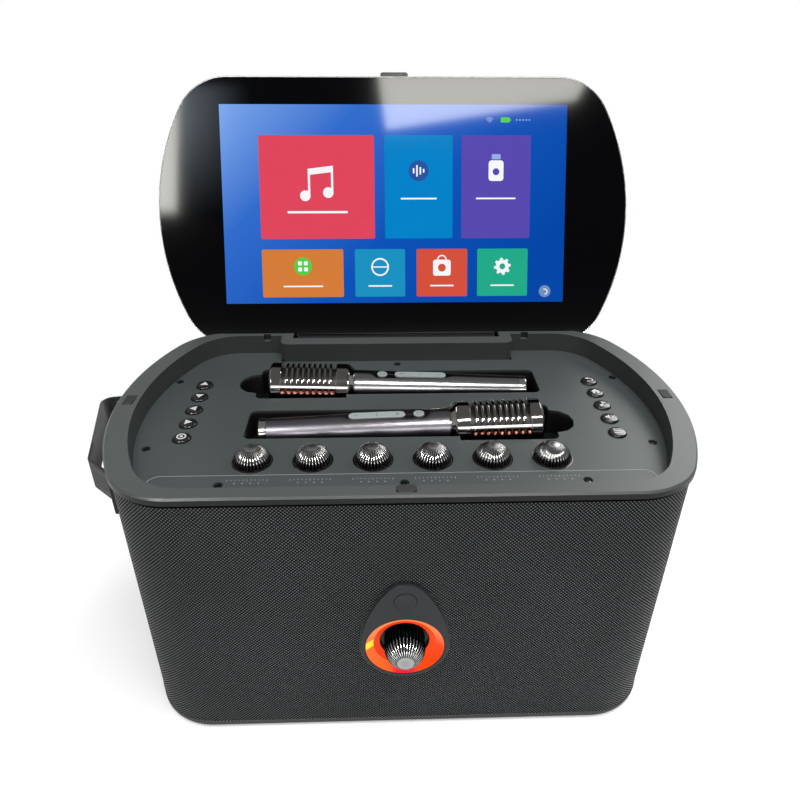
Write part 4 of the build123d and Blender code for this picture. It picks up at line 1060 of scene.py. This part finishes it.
def makePlate():
    depth = front["thickness"]
    holes = [circlePlan(0, front["ringZ"], front["ring"] + 0.3, 96)]
    holes.append(circlePlan(0, front["tipZ"], front["powerRadius"] + front["powerGap"]))
    plate = plates("teardropPlate", [teardrop()] + holes, facing, -depth, 0, 0.5)
    settle(plate, platePlastic, "cabinet", "plate_plastic", ["front_plate"], 40)
    outlines = [teardrop(front["shadow"])] + holes
    shadow = plates("plateShadowLine", outlines, facing, -depth - 0.3, -depth + 0.5)
    settle(shadow, wellAndShadowBlack, "cabinet", "inner_plastic")


def ringPaint(name, left, right, lit):
    paint = Paint(name, Emission_Strength=1.0, Specular_IOR_Level=0.1)
    x, y, z = (part * 1000 for part in paint.parts(paint.place()))
    up = z - front["ringZ"]
    across = x.smooth(-26, 26)
    shade = paint.mix(across, left, right)
    shade = paint.mix((up * -1).smooth(18, 27) * x.size().smooth(14, 5), shade, (0.9, 0.01, 0.03))
    if lit:
        # painted highlight: an upper half that is paler, and a yellow spot at the left
        shade = paint.mix(up.smooth(-4, 16) * 0.65, shade, (1.0, 0.33, 0.14))
        spot = (x + 28.0).size().smooth(3.8, 2.2) * (up - 1.5).size().smooth(4.6, 3.0)
        shade = paint.mix(spot, shade, (1.0, 0.78, 0.02))
    return paint.feed(
        Base_Color=paint.mix(0.85, shade, black), Emission_Color=shade, Roughness=0.25 + across * 0.05
    )


def makeBands():
    ring, step, throat = front["ring"], front["step"], front["throat"]
    stepDepth, throatDepth, well = front["stepDepth"], front["throatDepth"], front["wellDepth"]
    outerGlow = ringPaint("ringOuterGlow", (1.0, 0.14, 0.02), (0.98, 0.055, 0.002), True)
    innerGlow = ringPaint("ringInnerGlow", (0.80, 0.045, 0.004), (0.90, 0.06, 0.004), False)
    outer = [
        (0.3, ring), (0.3, ring - 0.5), (0.5, ring - 0.9),
        (stepDepth - 0.3, step + 0.4), (stepDepth + 0.1, step),
    ]
    inner = [
        (stepDepth + 0.1, step), (stepDepth + 0.3, step - 0.5),
        (throatDepth - 0.3, throat + 0.5), (throatDepth + 0.2, throat),
    ]
    bore = [(throatDepth + 0.2, throat), (well - 0.6, throat), (well, throat - 0.6), (well, 4.0)]
    sheets = (
        ("glowBandOuter", outerGlow, "amber_light", outer),
        ("glowBandInner", innerGlow, "amber_light", inner),
        ("knobWell", wellAndShadowBlack, "inner_plastic", bore),
    )
    for name, paint, slot, profile in sheets:
        work = bmesh.new()
        skin(work, [circleRing(inward, radius, height, 128) for height, radius in profile])
        bmesh.ops.solidify(work, geom=work.faces[:], thickness=front["wall"] * mm)
        dimmed(settle(asObject(name, work), paint, "cabinet", slot, ["light_ring"], 30))


def makePowerKey():
    r, rise = front["powerRadius"], front["powerRise"]
    profile = [
        (front["powerFoot"], r), (0, r), (rise * 0.7, r - 0.2), (rise, r - 0.8), (rise * 0.8, r - 2.2),
        (rise * 0.55, r * 0.5), (rise * 0.5, 0.1),
    ]
    key = lathed("powerKey", profile, tipFacing)
    settle(key, platePlastic, "power_button", "gloss_black", ["power_button"], 40)
    # a near-black ring in the gap round the key, reaching a little onto the plate's face: painted shadow
    hole = r + front["powerGap"]
    line = [(0.02, hole + front["powerShadowLine"]), (0.02, hole - 0.05), (-1.2, hole - 0.1), (-1.2, r + 0.12)]
    work = bmesh.new()
    skin(work, [circleRing(tipFacing, radius, height, 96) for height, radius in line])
    settle(asObject("powerGapShadowRing", work), wellAndShadowBlack, "cabinet", "inner_plastic")


makePlate()
makeBands()
ribbedKnob("volumeDome", "volume_knob", ringFacing, volumeKnob)
makePowerKey()
print("front ready")

# lid: glass, bright edge line and the lit display, sizes in mm and degrees
lid = {
    "angle": 113, "inset": 7, "drop": 8, "margin": 2.5, "gap": 9, "glass": 2, "trim": 0.9, "trimRise": 0.25,
    "armHalf": 100.25, "armTop": 6.55, "screen": (344.2, 193.6), "lift": 38.4,
}
screenWide, screenTall = lid["screen"]
hingeY = cabinet["depth"] / 2 - lid["inset"]
lidPlace = flat(0, hingeY, cabinet["height"] - lid["drop"])
lidPlace = lidPlace @ Matrix.Rotation(math.radians(180 - lid["angle"]), 4, "X")
screenPlace = lidPlace @ flat(-screenWide / 2, lid["lift"], -lid["gap"])


def lidPlan(inset):
    # the body's plan as the closed lid has it, measured from the hinge's axis
    return [(x, y + hingeY) for x, y in bodyPlan(lid["margin"] + inset)]


def makeGlass():
    paint = Paint("lidGlass", Specular_IOR_Level=0.1)
    smear = paint.noise(5, 4)
    shade = paint.mix(smear, (0.0004, 0.0004, 0.0008), (0.0008, 0.0009, 0.0014))
    paint.feed(Base_Color=shade, Roughness=0.06 + smear * 0.03)
    loop = lidPlan(lid["trim"])
    low, half, top = loop[0][1], lid["armHalf"], lid["armTop"]
    outline = [(half, top), (half, low)] + loop[1:] + [(-half, low), (-half, top)]
    glass = plates("lidGlass", [outline], lidPlace, -lid["gap"] - lid["glass"], -lid["gap"], 0.35)
    settle(glass, paint, "lid", "glass_black", ["glass_panel"], 40)


def makeEdgeLine():
    top, low = -lid["gap"] - lid["trimRise"], -lid["gap"] - lid["glass"]
    rings = []
    for (x, y), (u, v) in zip(lidPlan(0.05)[1:], lidPlan(lid["trim"])[1:]):
        section = [(x, y, low), (x, y, top - 0.2), ((x + u) / 2, (y + v) / 2, top)]
        section += [(u, v, top - 0.1), (u, v, low)]
        rings.append([lidPlace @ (Vector(point) * mm) for point in section])
    work = bmesh.new()
    skin(work, rings, capped=True)
    settle(asObject("lidEdgeLine", work), pinSteel, "lid", "pin_steel")


def litPaint(name, colour):
    paint = Paint(name, Emission_Strength=1.0, Specular_IOR_Level=0.1)
    grain = paint.noise(60, 2)
    shade = paint.mix(grain, colour, scaled(colour, 0.92))
    base = paint.mix(0.96, shade, black)
    return paint.feed(Base_Color=base, Emission_Color=shade, Roughness=0.05 + grain * 0.03)


screenLook = {
    "tones": (
        (0.0, (0.19, 0.37, 0.82)), (0.3, (0.03, 0.15, 0.60)),
        (0.65, (0.003, 0.085, 0.48)), (1.0, (0.0, 0.062, 0.38)),
    ),
    # soft arcs: centre across and up, radius, width, strength
    "arcs": ((1.75, 0.15, 1.02, 0.16, 0.55), (1.75, 0.15, 0.86, 0.05, 0.3), (-0.5, -0.6, 1.1, 0.10, 0.16)),
    "arcColour": (0.10, 0.34, 0.95),
    "shape": 1.78,
}


def screenPaint():
    paint = Paint("screenBlue", Emission_Strength=1.0, Specular_IOR_Level=0.1)
    u, v = paint.mapped("screen")
    shade = paint.ramp(u * 0.75 + (1 - v) * 0.45, screenLook["tones"])
    for middleU, middleV, radius, width, strength in screenLook["arcs"]:
        across, up = (u - middleU) * screenLook["shape"], v - middleV
        away = (across * across + up * up).root() - radius
        glowing = away.size().smooth(width, 0.0) * strength * u.smooth(0.1, 0.9)
        shade = paint.mix(glowing, shade, screenLook["arcColour"])
    return paint.feed(Base_Color=(0, 0, 0.002), Emission_Color=shade, Roughness=0.05 + v * 0.02)


def makePicture():
    level = 0.06

    def point(u, v):
        return screenPlace @ (Vector((screenWide * u, screenTall * v, level)) * mm)

    sheet = asObject("displayPicture", gridSheet(point, 20, 12, "screen"))
    dimmed(settle(sheet, screenPaint(), "lid", "display", ["display_panel"]))


tiles = {
    # name: left, top, right, bottom as shares of the display, and its colour
    "red": (0.108, 0.150, 0.440, 0.668, (0.74, 0.06, 0.105)),
    "sky": (0.470, 0.150, 0.668, 0.668, (0.0, 0.22, 0.58)),
    "violet": (0.694, 0.150, 0.896, 0.668, (0.095, 0.065, 0.42)),
    "orange": (0.108, 0.722, 0.346, 0.968, (0.66, 0.20, 0.04)),
    "teal": (0.380, 0.722, 0.528, 0.968, (0.01, 0.28, 0.52)),
    "vermilion": (0.562, 0.722, 0.712, 0.968, (0.66, 0.08, 0.045)),
    "green": (0.742, 0.722, 0.892, 0.968, (0.015, 0.40, 0.25)),
}
makeGlass()
makeEdgeLine()
makePicture()
signLit = litPaint("signLit", (0.92, 0.92, 0.95))
signPale = litPaint("signPale", (0.30, 0.42, 0.80))
signGreen = litPaint("signGreen", (0.08, 0.62, 0.06))


def onScreen(u, v):
    return u * screenWide, (1 - v) * screenTall


def screenShape(name, outlines, paint=signLit, level=0.12):
    sheet = plates(name, outlines, screenPlace, level, level + 0.02)
    dimmed(settle(sheet, paint, "lid", "display"))


def makeTile(name, left, high, right, bottom, colour):
    x0, y0 = onScreen(left, bottom)
    x1, y1 = onScreen(right, high)
    screenShape(name + "Tile", [roundedBox(x0, y0, x1, y1, 1.6)], litPaint(name + "Lit", colour), 0.08)
    return (x0 + x1) / 2, (y0 + y1) / 2


def makeRound(name, x, y, radius, paint):
    # a disc that lies under the sign on it
    screenShape(name, [circlePlan(x, y, radius)], paint, 0.10)


def makeLine(name, x, y, half, width):
    screenShape(name, [bar(x - half, y, x + half, y, width)])


def makeSong(x, y):
    screenShape("songHeads", [circlePlan(x - 12, y - 8, 5.2, 40), circlePlan(x + 11, y - 5, 5.2, 40)])
    screenShape("songStems", [bar(x - 8, y - 8, x - 8, y + 17, 2.2), bar(x + 15, y - 5, x + 15, y + 20, 2.2)])
    screenShape("songBeam", [[(x - 9.1, y + 12), (x + 16.1, y + 15), (x + 16.1, y + 21), (x - 9.1, y + 18)]])
    makeLine("songBar", x, y - 24, 30, 2.2)


def makeWave(x, y):
    makeRound("waveRound", x, y + 16, 10, litPaint("deepBlueLit", (0.02, 0.09, 0.36)))
    for i, (across, up) in enumerate(((-5, 2.5), (-1.7, 5.5), (1.7, 3.5), (5, 1.8))):
        screenShape("waveBar" + str(i), [bar(x + across, y + 16 - up, x + across, y + 16 + up, 1.6)])
    makeLine("waveLine", x, y - 11, 18, 1.6)


def makeDisk(x, y):
    body = roundedBox(x - 7.5, y + 6, x + 7.5, y + 26, 3)
    screenShape("diskBody", [body, circlePlan(x, y + 15, 3.4, 32)])
    screenShape("diskPlug", [roundedBox(x - 4.5, y + 27, x + 4.5, y + 32, 1)], signPale)
    makeLine("diskLine", x, y - 11, 20, 1.6)


def makeGrid(x, y):
    makeRound("gridRound", x, y + 7, 9, signGreen)
    for i, (across, up) in enumerate(((-3, -3), (3, -3), (-3, 3), (3, 3))):
        left, low = x + across - 2, y + 7 + up - 2
        screenShape("gridCell" + str(i), [roundedBox(left, low, left + 4, low + 4, 0.8)])
    makeLine("gridLine", x, y - 13, 20, 1.5)


def makeGlobe(x, y):
    screenShape("globeRing", [circlePlan(x, y + 6, 9), circlePlan(x, y + 6, 7.4)])
    makeLine("globeBelt", x, y + 6, 8, 1.2)
    makeLine("globeLine", x, y - 13, 12, 1.5)


def makeBag(x, y):
    screenShape("bagSheet", [roundedBox(x - 9, y - 3, x + 9, y + 13, 2.4), circlePlan(x, y + 5, 4, 32)])
    screenShape("bagHandle", [arcBand(x, y + 13, 4.2, 1.3, 0, 180)])
    makeLine("bagLine", x, y - 13, 12, 1.5)


def makeGear(x, y):
    teeth = []
    for i in range(64):
        reach = 8.6 if (i // 4) % 2 == 0 else 6.6
        turn = math.tau * i / 64
        teeth.append((x + reach * math.cos(turn), y + 6 + reach * math.sin(turn)))
    screenShape("gearWheel", [teeth, circlePlan(x, y + 6, 3.0, 32)])
    makeLine("gearLine", x, y - 13, 12, 1.5)


def makeStatus(x, y):
    for i in range(3):
        screenShape("signalArc" + str(i), [arcBand(x, y - 3, 1.2 + 1.9 * i, 0.8, 45, 135, 12)], signPale)
    screenShape("powerCell", [roundedBox(x + 11, y - 2.4, x + 20, y + 2.4, 0.8)], signGreen)
    screenShape("powerCellTip", [roundedBox(x + 20.3, y - 1, x + 21.3, y + 1, 0.3)], signGreen)
    for i in range(5):
        screenShape("clockDot" + str(i), [circlePlan(x + 27 + 3.2 * i, y, 0.8, 20)], signPale)


def makeReturn(x, y):
    makeRound("returnRound", x, y, 6.0, litPaint("greyBlueLit", (0.16, 0.27, 0.50)))
    screenShape("returnArrow", [arcBand(x, y - 0.4, 2.6, 0.9, -90, 120)])


middles = [makeTile(name, *sizes) for name, sizes in tiles.items()]
for makeIcon, middle in zip((makeSong, makeWave, makeDisk, makeGrid, makeGlobe, makeBag, makeGear), middles):
    makeIcon(*middle)
makeStatus(*onScreen(0.775, 0.075))
makeReturn(*onScreen(0.945, 0.945))
print("lid ready")

# carrying strap: one webbing band looped between its two mounts, sizes in mm
strap = {
    "points": ((-214, -88), (-243.5, -62), (-265, 31), (-226, 37)), "low": 209, "high": 236, "thick": 2.6,
    "bend": 9, "grid": 2.5, "litSpan": (58, 66, 128, 136),
    "stitches": 6, "stitchPitch": 3.0, "stitchFrom": 16.0, "stitchBack": 27.0, "rows": (213.5, 231.5),
}


def roundedRoute(points, bend, steps=10):
    route = [Vector(points[0])]
    for before, corner, after in zip(points, points[1:], points[2:]):
        a = (Vector(before) - Vector(corner)).normalized()
        b = (Vector(after) - Vector(corner)).normalized()
        half = a.angle(b) / 2
        reach = bend / math.tan(half)
        centre = Vector(corner) + (a + b).normalized() * bend / math.sin(half)
        start = Vector(corner) + a * reach - centre
        end = Vector(corner) + b * reach - centre
        turn = start.angle_signed(end)
        for i in range(steps + 1):
            route.append(centre + Matrix.Rotation(-turn * i / steps, 2) @ start)
    route.append(Vector(points[-1]))
    return route


def strapRoute():
    # points at even steps along the route, their lengths from its start, and their headings
    route = roundedRoute(strap["points"], strap["bend"])
    points = []
    for a, b in zip(route, route[1:]):
        count = max(1, int((b - a).length / strap["grid"]))
        points += [a + (b - a) * i / count for i in range(count)]
    points.append(route[-1])
    lengths = [0.0]
    for a, b in zip(points, points[1:]):
        lengths.append(lengths[-1] + (b - a).length)
    last = len(points) - 1
    headings = [(points[min(i + 1, last)] - points[max(i - 1, 0)]).normalized() for i in range(last + 1)]
    return points, lengths, headings


def webbing():
    paint = Paint("strapWebbing", Sheen_Weight=0.35, Sheen_Roughness=0.4, Specular_IOR_Level=0.2)
    u, v = paint.mapped("weave")
    cross = (u * math.tau / 1.7).sine() * (v * math.tau / 1.5).sine()
    rib = (v * math.tau / 0.75 + (u * math.tau / 3.4).sine()).sine()
    weave = cross * 0.6 + rib * 0.4
    # painted light and shade: the webbing is near black, and grey along its middle span where it is lit
    from0, from1, to0, to1 = strap["litSpan"]
    grey = u.smooth(from0, from1) * u.smooth(to1, to0)
    fuzz = paint.noise(700, 4)
    shade = paint.mix(grey * 0.85, (0.012, 0.012, 0.013), (0.085, 0.087, 0.088))
    shade = paint.mix(weave.smooth(-0.7, 0.8) * 0.6, paint.mix(0.5, shade, black), shade)
    shade = paint.mix((fuzz - 0.5).size() * 0.8, shade, (0.11, 0.11, 0.11))
    paint.feed(Base_Color=shade, Roughness=0.72 + fuzz * 0.15)
    return paint.bump(weave * 0.5 + fuzz * 0.4, 0.00035, 0.8)


def makeBand(points, lengths, headings):
    half, low, high = strap["thick"] / 2, strap["low"], strap["high"]
    rise = high - low - 1.6
    section = [(-half * 0.6, low), (half * 0.6, low), (half, low + 0.8)]
    section += [(half, low + 0.8 + rise * i / 12) for i in range(1, 13)]
    section += [(half * 0.6, high), (-half * 0.6, high), (-half, high - 0.8)]
    section += [(-half, high - 0.8 - rise * i / 12) for i in range(1, 13)]
    rings = []
    for point, ahead in zip(points, headings):
        ring = [(point.x + ahead.y * out, point.y - ahead.x * out, z) for out, z in section]
        rings.append([Vector(corner) * mm for corner in ring])
    work = bmesh.new()
    made = skin(work, rings, capped=True)
    facts = {vert: (lengths[i], section[j][1]) for i, ring in enumerate(made) for j, vert in enumerate(ring)}
    layMap(work, "weave", facts)
    settle(asObject("carryStrap", work), webbing(), "cabinet", "strap_web", ["grab_strap"], 50)


def makeStitches(points, lengths, headings):
    # rows of short threads on the outside of both legs
    work = bmesh.new()
    thread = [(-1.0, 0.08), (-0.8, 0.3), (0.8, 0.3), (1.0, 0.08)]
    for leg, start in enumerate((strap["stitchFrom"], lengths[-1] - strap["stitchBack"])):
        for step in range(strap["stitches"]):
            at = start + step * strap["stitchPitch"]
            i = max(j for j, length in enumerate(lengths) if length <= at)
            ahead = headings[i]
            out = Vector((ahead.y, -ahead.x))
            if leg == 0 and out.x > 0:
                out = -out
            middle = points[i] + out * strap["thick"] / 2
            along = Vector((ahead.x, ahead.y, 0))
            up = Vector((0, 0, 1))
            turn = Matrix((up, along.cross(up), along)).transposed().to_4x4()
            for height in strap["rows"]:
                turned(work, thread, flat(middle.x, middle.y, height) @ turn, 8)
    paint = satinPlastic("strapThread", (0.20, 0.20, 0.20), 0.6, 2000)
    settle(asObject("strapStitches", work), paint, "cabinet", "strap_web")


route = strapRoute()
makeBand(*route)
makeStitches(*route)
print("strap ready")

# marks on the deck: a painted highlight round the edge of its front strip, and the knobs' scales, sizes in mm
strip = {"half": 192, "back": -83.0, "front": -112, "corner": 9, "line": 0.45, "low": 0.01, "high": 0.64}
scale = {
    "ticks": 11, "tickPitch": 3, "tickY": -88.6, "tick": -1.3, "longTick": -2.2, "width": 0.4,
    "dots": 4, "dotPitch": 6, "dotY": -93.2, "dotRadius": 0.55, "low": 0.58, "high": 0.64,
}
deckPrintAndHighlight = satinPlastic("deckPrintAndHighlight", (0.26, 0.27, 0.27), 0.5)


def stripLoop(inset):
    half, corner = strip["half"] - inset, strip["corner"] - inset
    return roundedBox(-half, strip["front"] + inset, half, strip["back"] - inset, corner, 12)


def scaleOutlines(middle):
    first = middle - scale["tickPitch"] * (scale["ticks"] - 1) / 2
    outlines = []
    for i in range(scale["ticks"]):
        x, y = first + scale["tickPitch"] * i, scale["tickY"]
        reach = scale["longTick"] if i % 5 == 0 else scale["tick"]
        outlines.append(bar(x, y, x, y + reach, scale["width"]))
    first = middle - scale["dotPitch"] * (scale["dots"] - 1) / 2
    for i in range(scale["dots"]):
        outlines.append(circlePlan(first + scale["dotPitch"] * i, scale["dotY"], scale["dotRadius"], 16))
    return outlines


onDeck = flat(0, 0, panelTop)
# a light band round the front strip's edge: painted highlight
line = plates("deckStripLine", [stripLoop(0), stripLoop(strip["line"])], onDeck, strip["low"], strip["high"])
settle(line, deckPrintAndHighlight, "cabinet", "key_grey")
for i, x in enumerate(knobXs):
    marks = plates("scaleMarks" + str(i + 1), scaleOutlines(x), onDeck, scale["low"], scale["high"])
    settle(marks, deckPrintAndHighlight, "cabinet", "key_grey")
print("marks ready")

# CAD nodes that keep their shape get their finish here
nodePaints = {
    "body_plastic": rimPlastic,
    "tray_plastic": trayPlastic,
    "rubber_black": rubber,
    "grille_metal": speakerPaint,
    "inner_plastic": innerPlastic,
    "board": boardGreen,
    "pin_steel": pinSteel,
    "plate_plastic": platePlastic,
    "amber_light": glow("amberLight", (1.0, 0.2, 0.01), 1.0),
    "knob_silver": chrome,
    "gloss_black": glossBlack,
    "speaker": speakerPaint,
    "battery": cellWrap,
    "strap_web": rubber,
    "glass_black": glossBlack,
    "display": glossBlack,
    "barrel_plastic": glossBlack,
    "mic_body": pinSteel,
    "mic_chrome": chrome,
    "mic_inner": innerPlastic,
    "key_grey": keyPlastic,
}
for node, slot in slotOf.items():
    for materialSlot in frame["nodes"][node].material_slots:
        materialSlot.material = nodePaints[slot].material
print("nodes painted")
